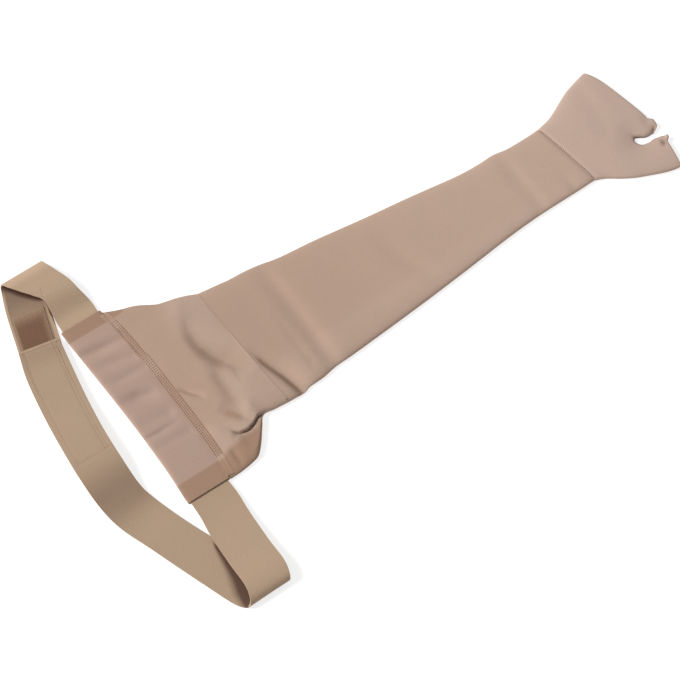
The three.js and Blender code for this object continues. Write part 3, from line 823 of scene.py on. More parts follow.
class HandPiece:
    """The hand piece's plan: a palm that divides into fingers and a thumb at the slit."""

    def __init__(self):
        self.palm, self.fingers, self.thumb = (
            read_table(rows, np.linspace(0, 1, count))
            for rows, count in ((PALM_STATIONS, 53), (FINGER_STATIONS, 29), (THUMB_STATIONS, 27))
        )
        self.near_side, self.far_side, self.slit = (
            np.hstack([first, second[:, 1:]]).T
            for first, second in (
                (self.palm[0:2], self.thumb[0:2]),
                (self.palm[4:6], self.fingers[2:4]),
                (self.thumb[2:4, ::-1], self.fingers[0:2]),
            )
        )

    def height(self, x, y, top, upper):
        """The height of the upper cloth, or of the cloth that it lies on, at each (x, y)."""
        to_side = np.minimum(distance_to(self.near_side, x, y), distance_to(self.far_side, x, y))
        to_slit = distance_to(self.slit, x, y)
        side = np.minimum(FOLD_HEIGHT, top / 2)
        side = side * (1 - (1 - SLIT_FOLD_SHARE) * hump(to_slit, 0, SLIT_FOLD_SPREAD))
        if not upper:
            return fold_round(np.minimum(to_side, to_slit), side)
        rise = fold_rise(to_side, HAND_REACH, CLOTH_SQUARENESS)
        rise *= fold_rise(to_slit, SLIT_REACH, SLIT_POWER)
        rise *= SLIT_LOW + (1 - SLIT_LOW) * smooth(to_slit, *SLIT_SPREAD)
        relief = HAND_UNEVENNESS * unevenness(x, y) - pressed_down(HAND_CREASES, x, y)
        relief -= WRIST_DIP * hump(x, station_x(ARM_STATIONS[-1], y), WRIST_DIP_WIDTH)
        return side + rise * (top - side + relief)

    def add_layer(self, bm, stations, across, upper, nub=None):
        """Adds the upper or lower cloth between a table's two lines to bm."""
        rows = stations.shape[1] - 1

        def place(row, column):
            share, at = across[column], stations[:, row]
            x, y, width = points_across(at, share)
            lift = 0
            if nub:
                from_slit = width * (1 + nub.side * share) / 2
                curl = smooth(from_slit, nub.width, nub.width - NUB_SOFTNESS)
                curl *= (row / rows) ** NUB_FADE
                x, y, _ = points_across(at, share, nub.reach * curl)
                lift = NUB_RISE * curl * np.sin(math.pi * np.clip(from_slit / nub.width, 0, 1))
            z = self.height(x, y, at[5], upper) + (lift if upper else 0)
            return x, y, z, x, y if upper else UNDERSIDE_UV - y, hand_tone(x, y)

        add_sheet(bm, rows, len(across) - 1, place)


def add_strip(bm, strap, along, columns, tone, inset=(0, 0), lift=0.0, floor=0.0, pressed=None):
    """Adds a strip of webbing or tape to bm, on a strap's middle surface moved out by lift."""

    def place(row, column):
        at, share = along[row], columns[column]
        points, normal = strap.points(at, share, inset, lift)
        x, y, z = points.T
        if pressed:
            z = z - np.abs(normal[:, 2]) * pressed(at, share)
        across = share * (STRAP_WIDTH - sum(inset))
        distance = np.interp(at, FINE, strap.run)
        return x, y, np.maximum(z, floor), distance, across, tone(at, share, x, y)

    add_sheet(bm, len(along) - 1, len(columns) - 1, place)


def add_hooks(bm, strap, lift):
    """Adds rows of small leaning hooks to bm, every second row leaning the other way."""
    start, end = np.interp(HOOK_PLACES, FINE, strap.run)
    shares = np.linspace(0, 1, int((STRAP_WIDTH - sum(HOOK_INSET)) / HOOK_PITCH[1]) + 1)
    for number, distance in enumerate(np.arange(start, end, HOOK_PITCH[0])):
        at = np.full_like(shares, np.interp(distance, strap.run, FINE))
        points, normals = strap.points(at, shares, HOOK_INSET, lift)
        lean = Matrix.Rotation(HOOK_LEAN if number % 2 else -HOOK_LEAN, 3, HOOK_AXIS)
        for point, normal in zip(placed(*points.T), normals):
            up = lean @ Vector(normal if normal[2] > 0 else -normal)
            turn = up.to_track_quat("Z", "Y").to_matrix().to_4x4()
            bmesh.ops.create_cone(
                bm,
                segments=5,
                radius1=HOOK_RADII[0] * MM,
                radius2=HOOK_RADII[1] * MM,
                depth=HOOK_HEIGHT * MM,
                cap_ends=True,
                matrix=Matrix.Translation(Vector(point) + up * (HOOK_HEIGHT * 0.4 * MM)) @ turn,
            )


# ---------------------------------------------------------------- node groups and materials


class Nodes:
    """Adds and joins nodes in one node tree, in plain steps."""

    def __init__(self, tree):
        self.tree = tree

    def add(self, kind, inputs=(), **settings):
        node = self.tree.nodes.new(kind)
        for name, value in settings.items():
            setattr(node, name, value)
        for key, value in dict(inputs).items():
            if isinstance(value, bpy.types.NodeSocket):
                self.tree.links.new(value, node.inputs[key])
            else:
                node.inputs[key].default_value = value
        return node

    def math(self, operation, *values):
        return self.add("ShaderNodeMath", enumerate(values), operation=operation).outputs[0]

    def vector(self, operation, inputs):
        return self.add("ShaderNodeVectorMath", inputs, operation=operation).outputs[0]

    def mix(self, factor, first, second):
        """A mix of two colours: they are sockets 6 and 7 of the node, and its output 2."""
        inputs = {0: factor, 6: first, 7: second}
        return self.add("ShaderNodeMix", inputs, data_type="RGBA").outputs[2]


def new_group(name, inputs, outputs):
    """A new group with named sockets: its nodes, what comes in and what goes out."""
    group = bpy.data.node_groups.new(name, "ShaderNodeTree")
    for sockets, way in ((inputs, "INPUT"), (outputs, "OUTPUT")):
        for socket in sockets:
            kind = "NodeSocketVector" if socket == "Vector" else "NodeSocketFloat"
            group.interface.new_socket(socket, in_out=way, socket_type=kind)
    nodes = Nodes(group)
    return nodes, nodes.add("NodeGroupInput").outputs, nodes.add("NodeGroupOutput").inputs


def shared(build, name):
    """The node group of that name, built the first time it is asked for."""
    return bpy.data.node_groups.get(name) or build(name)


def knit_height(nodes, along, across, wale, course):
    """Columns of knitted stitches, each with two arms that slant to its middle."""
    place = nodes.math("SUBTRACT", nodes.math("FRACT", nodes.math("DIVIDE", across, wale)), 0.5)
    rib = nodes.math("COSINE", nodes.math("MULTIPLY", place, math.pi))
    slant = nodes.math("MULTIPLY", nodes.math("ABSOLUTE", place), 1.4)
    slant = nodes.math("ADD", nodes.math("DIVIDE", along, course), slant)
    loop = nodes.math("SINE", nodes.math("MULTIPLY", slant, 2 * math.pi))
    loop = nodes.math("MULTIPLY_ADD", loop, 0.25, 0.75)
    return nodes.math("MULTIPLY", nodes.math("SQRT", rib), loop)


def webbing_height(nodes, along, across, cord, pick):
    """Cords along elastic webbing, and picks that go over every second one in turn."""
    cords = nodes.math("DIVIDE", across, cord)
    odd = nodes.math("MODULO", nodes.math("FLOOR", cords), 2.0)
    crown = nodes.math("SINE", nodes.math("MULTIPLY", nodes.math("FRACT", cords), math.pi))
    picks = nodes.math("ADD", nodes.math("DIVIDE", along, pick), nodes.math("MULTIPLY", odd, 0.5))
    over = nodes.math("SINE", nodes.math("MULTIPLY", picks, 2 * math.pi))
    return nodes.math("MULTIPLY", crown, nodes.math("MULTIPLY_ADD", over, 0.3, 0.7))


# Weaves: what draws their height, the sizes it takes, and their shade's gain and least value.
WEAVES = {
    "Knit": (knit_height, ("Wale", "Course"), (0.5, 0.5)),
    "Webbing": (webbing_height, ("Cord", "Pick"), (0.3, 0.7)),
}
MOTTLE_SCALES = {"Broad": 28.0, "Fine": 420.0}
COOL, WARM = (0.985, 1.0, 1.0, 1.0), (1.015, 0.99, 0.985, 1.0)
WEAVE_DEPTH = 0.4 * MM


def weave_group(name):
    """A weave on a UV map in metres: its height, and a shade between its threads."""
    height_of, sizes, (gain, least) = WEAVES[name]
    nodes, source, target = new_group(name, ("Vector", *sizes), ("Height", "Shade"))
    parts = nodes.add("ShaderNodeSeparateXYZ", {0: source["Vector"]}).outputs
    height = height_of(nodes, parts[0], parts[1], *(source[size] for size in sizes))
    nodes.tree.links.new(height, target["Height"])
    nodes.tree.links.new(nodes.math("MULTIPLY_ADD", height, gain, least), target["Shade"])
    return nodes.tree


def mottle_group(name):
    """Slight unevenness of dyed yarn: values round 0, changing over centimetres and millimetres."""
    nodes, source, target = new_group(name, ("Vector",), MOTTLE_SCALES)
    for output, scale in MOTTLE_SCALES.items():
        inputs = {"Vector": source["Vector"], "Scale": scale, "Detail": 2.0}
        cloud = nodes.add("ShaderNodeTexNoise", inputs).outputs[0]
        nodes.tree.links.new(nodes.math("SUBTRACT", cloud, 0.5), target[output])
    return nodes.tree


def new_material(name):
    """A new material and its nodes, none yet."""
    material = bpy.data.materials.new(name)
    material.use_nodes = True
    material.node_tree.nodes.clear()
    return material, Nodes(material.node_tree)


def yarn_mottle(nodes):
    """The yarn's unevenness on Object coordinates."""
    inputs = {"Vector": nodes.add("ShaderNodeTexCoord").outputs["Object"]}
    group = shared(mottle_group, "Yarn mottle")
    return nodes.add("ShaderNodeGroup", inputs, node_tree=group).outputs


def finish_material(nodes, inputs):
    """Adds the shader, with its inputs, and the output."""
    shader = nodes.add("ShaderNodeBsdfPrincipled", inputs)
    nodes.add("ShaderNodeOutputMaterial", {"Surface": shader.outputs[0]})


def cloth_material(name, colours, weave_name, sizes, relief):
    """Matte cloth with a weave, soft unevenness, and its second colour where its tone says."""
    material, nodes = new_material(name)
    mottle = yarn_mottle(nodes)
    inputs = {"Vector": nodes.add("ShaderNodeUVMap").outputs[0]}
    inputs.update(zip(WEAVES[weave_name][1], sizes))
    group = shared(weave_group, weave_name)
    weave = nodes.add("ShaderNodeGroup", inputs, node_tree=group).outputs
    # The second colour's share: doubled hems, and painted shade and light.
    tone = nodes.add("ShaderNodeAttribute", attribute_name="hem").outputs["Fac"]
    base = nodes.mix(tone, *((*colour, 1) for colour in colours))
    warmth = nodes.mix(nodes.math("MULTIPLY_ADD", mottle["Broad"], 0.9, 0.5), COOL, WARM)
    value = nodes.math("MULTIPLY_ADD", mottle["Broad"], 0.05, 1.0)
    value = nodes.math("MULTIPLY_ADD", mottle["Fine"], 0.10, value)
    value = nodes.math("MULTIPLY", value, nodes.math("MULTIPLY_ADD", weave["Shade"], 0.16, 0.88))
    shown = nodes.vector("MULTIPLY", {0: base, 1: warmth})
    shown = nodes.vector("SCALE", {0: shown, "Scale": value})
    height = {"Strength": relief, "Distance": WEAVE_DEPTH, "Height": weave["Height"]}
    inputs = {
        "Base Color": shown,
        "Normal": nodes.add("ShaderNodeBump", height).outputs[0],
        "Roughness": 0.92,
        "Specular IOR Level": 0.18,
        "Sheen Weight": 0.05,
        "Sheen Roughness": 0.6,
    }
    finish_material(nodes, inputs)
    return material


def knit_material(cloth, name, colours):
    return cloth_material(name, colours, "Knit", (cloth.wale, cloth.course), 0.35)


def webbing_material(cloth, name, colours):
    return cloth_material(name, colours, "Webbing", (cloth.cord, cloth.pick), 0.4)


def plain_material(name, colour, roughness=0.8):
    """A thread's or hook's finish: one colour with fine unevenness along it."""
    material, nodes = new_material(name)
    mottle = yarn_mottle(nodes)
    value = nodes.math("MULTIPLY_ADD", mottle["Fine"], 0.3, 1.0)
    shown = nodes.vector("SCALE", {0: colour, "Scale": value})
    inputs = {"Base Color": shown, "Roughness": roughness, "Specular IOR Level": 0.25}
    finish_material(nodes, inputs)
    return material


# ---------------------------------------------------------------- sewing


class Surface:
    """The top of finished pieces, found from above."""

    def __init__(self, *names):
        depsgraph = bpy.context.evaluated_depsgraph_get()
        self.trees = [BVHTree.FromObject(bpy.data.objects[name], depsgraph) for name in names]

    def top(self, x, y):
        """The highest point over (x, y) of the tables and its normal, or None off the pieces."""
        start = Vector((x * MM + ORIGIN_X, y * MM + ORIGIN_Y, 1.0))
        hits = [tree.ray_cast(start, Vector((0, 0, -1)))[:2] for tree in self.trees]
        hits = [hit for hit in hits if hit[0] is not None]
        return max(hits, key=lambda hit: hit[0].z) if hits else None


def add_stitch(bm, start, end, normal, stitch):
    """Adds one stitch of thread to bm, half sunk into the cloth between start and end."""
    along = end - start
    length = along.length
    along.normalize()
    side = normal.cross(along).normalized()
    up = along.cross(side)
    middle = (start + end) / 2 + up * (stitch.raised * MM)
    turn = Matrix((along, side, up)).transposed().to_4x4()
    size = Matrix.Diagonal((length / 2, stitch.width * MM / 2, stitch.width * MM / 2, 1))
    where = Matrix.Translation(middle) @ turn @ size
    bmesh.ops.create_uvsphere(bm, u_segments=6, v_segments=4, radius=1, matrix=where)


def stitch_line(bm, surface, line, stitch):
    """Sews along a line's rows of x and y."""
    run = run_of(line)
    at = stitch.gap / 2
    while at + stitch.length <= run[-1]:
        spans = (at, at + stitch.length)
        ends = [surface.top(*(np.interp(d, run, axis) for axis in line)) for d in spans]
        if all(ends):
            (start, normal), (end, _) = ends
            if abs(start.z - end.z) < stitch.length * MM:
                add_stitch(bm, start, end, normal, stitch)
        at += stitch.length + stitch.gap


def cross_stitches(bm, surface, line, stitch):
    """Sews across a line's rows of x and y: one stitch at each gap, half to either side of it."""
    run = run_of(line)
    for at in np.arange(stitch.gap / 2, run[-1], stitch.gap):
        (x1, y1), (x, y), (x2, y2) = (
            [np.interp(np.clip(at + step, 0, run[-1]), run, axis) for axis in line]
            for step in (-1, 0, 1)
        )
        long = math.hypot(x2 - x1, y2 - y1)
        side_x, side_y = -(y2 - y1) / long, (x2 - x1) / long
        reaches = (-stitch.length / 2, stitch.length / 2)
        ends = [surface.top(x + side_x * reach, y + side_y * reach) for reach in reaches]
        if all(ends):
            add_stitch(bm, ends[0][0], ends[1][0], Vector((0, 0, 1)), stitch)


def seam_ribbon(name, surface, line, half_width, columns, profile, tone, thickness):
    """A narrow sewn ribbon laid over a seam's rows of x and y, with a height of its own across."""
    ahead = np.gradient(line, axis=1)
    ahead /= np.hypot(*ahead)
    offsets = np.linspace(-half_width, half_width, columns)

    def beside(row, offset):
        return line[0, row] + ahead[1, row] * offset, line[1, row] - ahead[0, row] * offset

    def highest(row, offset):
        """The cloth's height within a millimetre, so that the ribbon lies on it everywhere."""
        reaches = np.clip((offset - 1, offset, offset + 1), -half_width, half_width)
        hits = [surface.top(*beside(row, reach)) for reach in reaches]
        return max(hit[0].z / MM if hit else thickness + 0.1 for hit in hits)

    rows = line.shape[1]
    heights = np.array([[highest(row, offset) for offset in offsets] for row in range(rows)])
    run = run_of(line)

    def place(row, column):
        offset = offsets[column]
        x, y = beside(row, offset)
        return x, y, heights[row, column] + profile(offset, y), run[row], offset, tone(x, y)

    bm = bmesh.new()
    add_sheet(bm, rows - 1, columns - 1, place)
    return cloth_object(name, bm, thickness * MM)


def moved(line, offsets):
    """Copies of a line's rows of x and y, moved in x by each of the offsets."""
    return [line + [[offset], [0]] for offset in offsets]


def sewn_lines(name, surface, lines, stitch, material):
    """A piece of running stitches along lines' rows of x and y."""
    bm = bmesh.new()
    for line in lines:
        stitch_line(bm, surface, line, stitch)
    belongs(mesh_object(name, bm), "thread", material)


def seam_line(seam):
    """A seam's rows of x and y, from its row of numbers."""
    x, y, ahead_x, ahead_y, bow, ends, count = seam
    share = np.linspace(*ends, count)
    bowed = bow * (1 - (2 * share - 1) ** BOW_POWER)
    return np.stack([x + ahead_x * share + bowed, y + ahead_y * share])


def flat_seam_x(y):
    """The flat seam's middle; it is sewn in two runs, with a small step between them."""
    return cap_seam_x(y) - 0.15 + 1.6 * (1 - smooth(y, 52, 58))


def seam_sewn(y):
    """1 where the flat seam's stitches are drawn tight: in an upper and a lower run."""
    upper = smooth(y, 50, 56) * (1 - smooth(y, 96, 100))
    return upper + smooth(y, -93, -89) * (1 - smooth(y, 20, 28))


def flat_seam_profile(offset, y):
    """Four needle lines sunk between the flat seam's raised threads; its ends are plain."""
    sewn = 0.3 * smooth(y, -96, -92) * (1 - smooth(y, 108, 112)) + 0.7 * seam_sewn(y)
    lines = sum(hump(offset, line, NEEDLE_WIDTH) for line in NEEDLE_LINES)
    edge = smooth(np.abs(offset), FLAT_SEAM_HALF, FLAT_SEAM_HALF - FLAT_SEAM_EDGE)
    return edge * (0.03 + 0.06 * sewn) - 0.22 * lines * sewn


def flat_seam_tone(x, y):
    """The seam is darker where it is sewn, and its ends are as brown as the hems beside them."""
    ends = np.maximum(smooth(y, 108, 114) * 0.6, 1 - smooth(y, -98.5, -96.5))
    lines = sum(hump(x - flat_seam_x(y), line, 0.65) for line in NEEDLE_LINES)
    return np.maximum(ends, (0.35 + 0.65 * np.minimum(lines, 1)) * seam_sewn(y))


def low_ridge(offset, y):
    """A seam that barely shows."""
    return 0.01 + 0.02 * np.cos(offset / ARM_SEAM_HALF * math.pi / 2)


# ---------------------------------------------------------------- settings


def dyed(red, green, blue):
    """The colour of cloth that looks (red, green, blue) out of 255 under the stage's light."""
    shares = [part / 255 for part in (red, green, blue)]
    linear = [s / 12.92 if s <= 0.04045 else ((s + 0.055) / 1.055) ** 2.4 for s in shares]
    return tuple(part / STAGE_BRIGHTNESS for part in linear)


def colour_setting(name, description, value):
    return FloatVectorProperty(
        name=name, description=description, default=value, subtype="COLOR", size=3, min=0, max=1
    )


def number_setting(name, description, value, lowest=0.0, **kind):
    return FloatProperty(name=name, description=description, default=value, min=lowest, **kind)


def length_setting(name, description, metres):
    return number_setting(name, description, metres, subtype="DISTANCE", unit="LENGTH")


def angle_setting(name, description, degrees):
    radians = math.radians(degrees)
    return number_setting(name, description, radians, -math.pi, subtype="ANGLE", unit="ROTATION")


class SleeveCloth(bpy.types.PropertyGroup):
    """Sizes and colours of the cloth, the webbing and the thread."""

    arm_colour: colour_setting("Arm", "Knit of the arm tube", dyed(190, 164, 147))
    hand_colour: colour_setting("Hand", "Knit of the hand piece", dyed(189, 164, 149))
    cap_colour: colour_setting("Cap", "Knit of the shoulder cap", dyed(183, 157, 140))
    band_colour: colour_setting("Band", "Knit of the band", dyed(177, 150, 135))
    # The hems' colour is also mixed in as painted shade on the arm and the cap, along their folds
    # and beside the band.
    hem_colour: colour_setting("Hems and painted shade", "Knit where it is doubled, and painted shade on the knit", dyed(161, 130, 109))
    webbing_colour: colour_setting("Webbing", "Webbing's outer side", dyed(184, 158, 133))
    # Painted shade, mixed into the webbing deep in the straps' loops and into the knit at the
    # hand's slit and the thumb's dent.
    painted_shade_colour: colour_setting("Painted shade", "Painted shade deep in the webbing's folds and the hand's slit", dyed(78, 50, 39))
    hook_colour: colour_setting("Hooks", "Hook tape", dyed(126, 94, 73))
    loop_colour: colour_setting("Loops", "Loop tape", dyed(160, 133, 110))
    seam_colour: colour_setting("Seam thread", "Threads that cover seams", dyed(176, 149, 131))
    strap_thread_colour: colour_setting("Strap thread", "Straps' thread", dyed(172, 146, 122))
    needle_colour: colour_setting("Needle thread", "Thread sunk in seams", dyed(143, 116, 99))
    knit_thickness: length_setting("Knit thickness", "Thickness of the knitted cloth", 1.2 * MM)
    webbing_thickness: length_setting("Webbing thickness", "Thickness of the webbing", 1.8 * MM)
    tape_thickness: length_setting("Tape thickness", "Thickness of hook and loop tape", 0.8 * MM)
    wale: length_setting("Wale", "Width of one column of knitted stitches", 1.15 * MM)
    course: length_setting("Course", "Height of one row of knitted stitches", 0.85 * MM)
    cord: length_setting("Cord", "Width of one cord of the webbing", 1.5 * MM)
    pick: length_setting("Pick", "Length of webbing from one pick to the next", 1.0 * MM)


class SleeveStage(bpy.types.PropertyGroup):
    """The floor, the lights and the camera."""

    floor_colour: colour_setting("Floor", "Colour of the floor", (0.42, 0.42, 0.42))
    floor_glow: number_setting("Floor glow", "Light from the floor itself", 0.71)
    key_strength: number_setting("Key", "Strength of the key light", 4.2)
    key_softness: angle_setting("Key softness", "How wide the key light looks", 28)
    fill_strength: number_setting("Fill", "Light from all round", 0.45)
    azimuth: angle_setting("Azimuth", "Where the camera stands, from the front", -34.209)
    elevation: angle_setting("Elevation", "How high the camera stands", 65)
    distance: length_setting("Distance", "From the camera to the middle of the view", 2.8305)
    lens: number_setting("Lens", "Focal length in mm", 135, 1)


# ---------------------------------------------------------------- operators


class ARMSLEEVE_OT_arm_tube(bpy.types.Operator):
    """Builds the knitted arm tube, from the upper arm to the wrist"""

    bl_idname = "armsleeve.arm_tube"
    bl_label = "Arm tube"

    def execute(self, context):
        cloth = context.scene.sleeve_cloth
        denser = ((22, 18, 1.2), (0, 4, 2.0), (ARM_TUBE.run[-1], 4, 3.0))
        bm = tube_cloth(ARM_TUBE, 190, denser, across_places(57), arm_tone)
        # The arm's second colour gives painted shade along the crease by the seam, and a darker
        # tone toward the shoulder.
        colours = (cloth.arm_colour, cloth.hem_colour)
        piece = knit_piece(cloth, "arm_tube", bm, "arm_knit", colours, "sleeve")
        return {"FINISHED"}


class ARMSLEEVE_OT_hand_piece(bpy.types.Operator):
    """Builds the hand piece: a palm tube that divides into a finger end and a thumb end"""

    bl_idname = "armsleeve.hand_piece"
    bl_label = "Hand piece"

    def execute(self, context):
        cloth = context.scene.sleeve_cloth
        hand = HandPiece()
        near, far = across_places(28), across_places(48)
        near_palm = np.vstack([hand.palm[:4], hand.palm[6:]])
        bm = bmesh.new()
        for upper in (True, False):
            hand.add_layer(bm, near_palm, near, upper)
            hand.add_layer(bm, hand.palm[2:], far, upper)
            hand.add_layer(bm, hand.fingers, far, upper, FINGER_NUB)
            hand.add_layer(bm, hand.thumb, near, upper, THUMB_NUB)
        # The hand's second colour is painted shade.
        colours = (cloth.hand_colour, cloth.painted_shade_colour)
        piece = knit_piece(cloth, "hand_piece", bm, "hand_knit", colours, "gauntlet")
        return {"FINISHED"}


class ARMSLEEVE_OT_shoulder_cap(bpy.types.Operator):
    """Builds the shoulder cap, with its folds, its turned side hems and the armhole beneath"""

    bl_idname = "armsleeve.shoulder_cap"
    bl_label = "Shoulder cap"

    def execute(self, context):
        cloth = context.scene.sleeve_cloth
        denser = ((0, 3, 1.0), (CAP_TUBE.run[-1], 3, 1.0))
        across = across_places(151)
        starts = armhole_starts(CAP_TUBE, across)
        bm = tube_cloth(CAP_TUBE, 84, denser, across, cap_tone, starts, tuck_folded)
        # The cap's second colour is its doubled hems' colour, and painted shade on its folds and
        # beside the band.
        colours = (cloth.cap_colour, cloth.hem_colour)
        piece = knit_piece(cloth, "shoulder_cap_cloth", bm, "cap_knit", colours, "shoulder_cap")
        return {"FINISHED"}


class ARMSLEEVE_OT_cap_band(bpy.types.Operator):
    """Builds the band, a double casing sewn to the cap's upper edge"""

    bl_idname = "armsleeve.cap_band"
    bl_label = "Band"

    def execute(self, context):
        cloth = context.scene.sleeve_cloth
        denser = ((0, 3, 1.0), (BAND_TUBE.run[-1], 3, 1.0))
        across = across_places(41, BAND_SQUARENESS)
        bm = tube_cloth(BAND_TUBE, 150, denser, across, band_tone)
        colours = (cloth.band_colour, cloth.hem_colour)
        piece = knit_piece(cloth, "band_cloth", bm, "band_knit", colours, "cap_band")
        return {"FINISHED"}


class ARMSLEEVE_OT_straps(bpy.types.Operator):
    """Builds the two straps of elastic webbing"""

    bl_idname = "armsleeve.straps"
    bl_label = "Straps"

    def execute(self, context):
        cloth = context.scene.sleeve_cloth
        # The webbing's second colour is painted shade, deep in its folds.
        colours = (cloth.webbing_colour, cloth.painted_shade_colour)
        material = webbing_material(cloth, "Webbing", colours)
        floor = cloth.webbing_thickness / 2 / MM
        straps = (
            ("strap_upper", UPPER_STRAP, 190, upper_strap_tone, upper_strap_pressed, 0.272),
            ("strap_lower", LOWER_STRAP, 340, lower_strap_tone, lower_strap_pressed, 0.588),
        )
        for node, strap, count, tone, pressed, length in straps:
            along = spread_places(strap.run, count, ((strap.run[-1] - 3, 4, 6.0),))
            bm = bmesh.new()
            add_strip(bm, strap, along, STRAP_COLUMNS, tone, floor=floor, pressed=pressed)
            name = node + "_webbing"
            piece = cloth_object(name, bm, cloth.webbing_thickness, 0, softened=0.3 * MM)
            belongs(piece, "webbing", material, node)
        return {"FINISHED"}


class ARMSLEEVE_OT_tapes(bpy.types.Operator):
    """Builds the hook tape and the loop tape of the strap's fastening"""

    bl_idname = "armsleeve.tapes"
    bl_label = "Hook and loop tapes"

    def execute(self, context):
        cloth = context.scene.sleeve_cloth
        half = cloth.tape_thickness / 2 / MM
        lift = cloth.webbing_thickness / 2 / MM + half - TAPE_SUNK
        tapes = (
            ("hook", UPPER_STRAP, (0.788, 0.99), (4.8, 7.2), cloth.hook_colour, (0.038, 0.1)),
            ("loop", LOWER_STRAP, (0.82, 0.992), (3, 3), cloth.loop_colour, (0.044, 0.152)),
        )
        for kind, strap, places, inset, colour, flat in tapes:
            name = kind + "_tape"
            bm = bmesh.new()
            add_strip(bm, strap, np.linspace(*places, 71), TAPE_COLUMNS, tape_tone, inset, lift)
            piece = cloth_object(name, bm, cloth.tape_thickness, 0, softened=0.2 * MM)
            material = webbing_material(cloth, name, (colour, cloth.webbing_colour))
            belongs(piece, name, material, kind + "_patch")
        bm = bmesh.new()
        add_hooks(bm, UPPER_STRAP, lift + half)
        hooks = plain_material("Hooks", cloth.hook_colour, 0.6)
        belongs(mesh_object("hook_tape_hooks", bm), "hook_tape", hooks)
        return {"FINISHED"}


class ARMSLEEVE_OT_sewing(bpy.types.Operator):
    """Sews the flat seam, the seams across the arm and the tapes with rows of thread"""

    bl_idname = "armsleeve.sewing"
    bl_label = "Sewing"

    def execute(self, context):
        cloth = context.scene.sleeve_cloth
        needle = plain_material("Needle thread", cloth.needle_colour)
        thread = plain_material("Seam thread", cloth.seam_colour)
        strap_thread = plain_material("Strap thread", cloth.strap_thread_colour)

        y = np.linspace(*FLAT_SEAM_ENDS, 124)
        line = np.stack([flat_seam_x(y), y])
        surface = Surface("band_cloth", "shoulder_cap_cloth")
        shape = (FLAT_SEAM_HALF, 39, flat_seam_profile, flat_seam_tone, 0.5)
        colours = (cloth.seam_colour, cloth.hem_colour)
        cover = cloth_material("Flat seam", colours, "Webbing", FLAT_SEAM_THREADS, 0.5)
        belongs(seam_ribbon("flat_seam", surface, line, *shape), "thread", cover)
        first, last = FLAT_SEAM_SEWN
        lines = moved(line[:, (y > first) & (y < last)], NEEDLE_LINES)
        sewn = Surface("flat_seam")
        sewn_lines("flat_seam_needle_thread", sewn, lines, FLAT_SEAM_STITCH, needle)

        line = seam_line(UPPER_ARM_SEAM)
        surface = Surface("arm_tube", "shoulder_cap_cloth")
        shape = (ARM_SEAM_HALF, 7, low_ridge, arm_tone, 0.3)
        cover = knit_material(cloth, "Upper arm seam", (cloth.arm_colour, cloth.hem_colour))
        belongs(seam_ribbon("upper_arm_seam", surface, line, *shape), "thread", cover)
        lines = moved(line, ARM_SEAM_LINES)
        sewn = Surface("upper_arm_seam", "arm_tube")
        sewn_lines("upper_arm_seam_thread", sewn, lines, UPPER_ARM_STITCH, thread)

        bm = bmesh.new()
        sewn = Surface("arm_tube", "hand_piece")
        cross_stitches(bm, sewn, seam_line(WRIST_SEAM), WRIST_STITCH)
        belongs(mesh_object("wrist_seam_thread", bm), "thread", needle)

        lines = [
            strap.points(np.linspace(*places, 120), np.linspace(*shares, 120))[0][:, :2].T
            for strap, places, shares in STRAP_SEAMS
        ]
        sewn = Surface("strap_upper_webbing", "strap_lower_webbing", "hook_tape")
        sewn_lines("strap_stitches", sewn, lines, STRAP_STITCH, strap_thread)
        return {"FINISHED"}


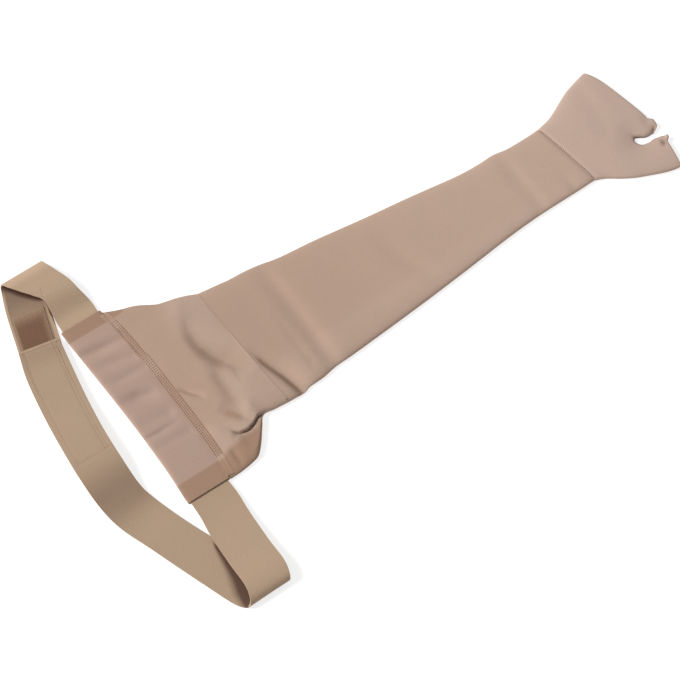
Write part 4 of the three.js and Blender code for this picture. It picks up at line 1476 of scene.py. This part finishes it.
class ARMSLEEVE_OT_stage(bpy.types.Operator):
    """Sets the floor, the lights and the camera"""

    bl_idname = "armsleeve.stage"
    bl_label = "Stage"

    def execute(self, context):
        scene = context.scene
        stage = scene.sleeve_stage

        bm = bmesh.new()
        lowered = Matrix.Translation((0, 0, -FLOOR_DROP))
        bmesh.ops.create_grid(bm, x_segments=2, y_segments=2, size=FLOOR_SIZE, matrix=lowered)
        floor = mesh_object("floor", bm)
        paint, nodes = new_material("Floor")
        inputs = {
            "Base Color": (*stage.floor_colour, 1),
            "Roughness": 0.9,
            "Specular IOR Level": 0.1,
            "Emission Color": (1, 1, 1, 1),
            "Emission Strength": stage.floor_glow,
        }
        finish_material(nodes, inputs)
        floor.data.materials.append(paint)

        world = bpy.data.worlds.new("Soft light")
        world.use_nodes = True
        sky = world.node_tree.nodes["Background"].inputs
        sky["Color"].default_value = (1, 1, 1, 1)
        sky["Strength"].default_value = stage.fill_strength
        scene.world = world

        lamp = bpy.data.lights.new("key", "SUN")
        lamp.energy = stage.key_strength
        lamp.angle = stage.key_softness
        key = bpy.data.objects.new("key", lamp)
        key.rotation_euler = Vector(KEY_DIRECTION).to_track_quat("Z", "Y").to_euler()
        context.collection.objects.link(key)

        lens = bpy.data.cameras.new("camera")
        lens.lens = stage.lens
        lens.sensor_width = SENSOR
        lens.clip_end = CLIP_END
        camera = bpy.data.objects.new("camera", lens)
        level = math.cos(stage.elevation)
        back = Vector(
            (
                math.sin(stage.azimuth) * level,
                -math.cos(stage.azimuth) * level,
                math.sin(stage.elevation),
            )
        )
        aim = Vector((ORIGIN_X + VIEW_MIDDLE[0] * MM, ORIGIN_Y + VIEW_MIDDLE[1] * MM, 0))
        camera.location = aim + back * stage.distance
        camera.rotation_euler = back.to_track_quat("Z", "Y").to_euler()
        context.collection.objects.link(camera)
        scene.camera = camera
        scene.view_settings.view_transform = "Standard"
        scene.view_settings.look = "None"
        return {"FINISHED"}


# ---------------------------------------------------------------- panel and registration

STEPS = (
    ARMSLEEVE_OT_arm_tube,
    ARMSLEEVE_OT_hand_piece,
    ARMSLEEVE_OT_shoulder_cap,
    ARMSLEEVE_OT_cap_band,
    ARMSLEEVE_OT_straps,
    ARMSLEEVE_OT_tapes,
    ARMSLEEVE_OT_sewing,
    ARMSLEEVE_OT_stage,
)


class ARMSLEEVE_PT_panel(bpy.types.Panel):
    """Lists the sleeve's sizes and colours and the steps that build it"""

    bl_idname = "ARMSLEEVE_PT_panel"
    bl_label = "Arm Sleeve"
    bl_space_type = "VIEW_3D"
    bl_region_type = "UI"
    bl_category = "Arm Sleeve"

    def draw(self, context):
        for title, settings in (
            ("Cloth", context.scene.sleeve_cloth),
            ("Stage", context.scene.sleeve_stage),
        ):
            box = self.layout.box()
            box.label(text=title)
            for name in settings.bl_rna.properties.keys():
                if name not in {"name", "rna_type"}:
                    box.prop(settings, name)
        for step in STEPS:
            self.layout.operator(step.bl_idname)


CLASSES = (SleeveCloth, SleeveStage, *STEPS, ARMSLEEVE_PT_panel)


def register():
    for cls in CLASSES:
        bpy.utils.register_class(cls)
    bpy.types.Scene.sleeve_cloth = PointerProperty(type=SleeveCloth)
    bpy.types.Scene.sleeve_stage = PointerProperty(type=SleeveStage)


def unregister():
    del bpy.types.Scene.sleeve_stage
    del bpy.types.Scene.sleeve_cloth
    for cls in reversed(CLASSES):
        bpy.utils.unregister_class(cls)


def main():
    register()
    for step in STEPS:
        name = step.bl_idname.split(".")[1]
        getattr(bpy.ops.armsleeve, name)()


if __name__ == "__main__":
    main()
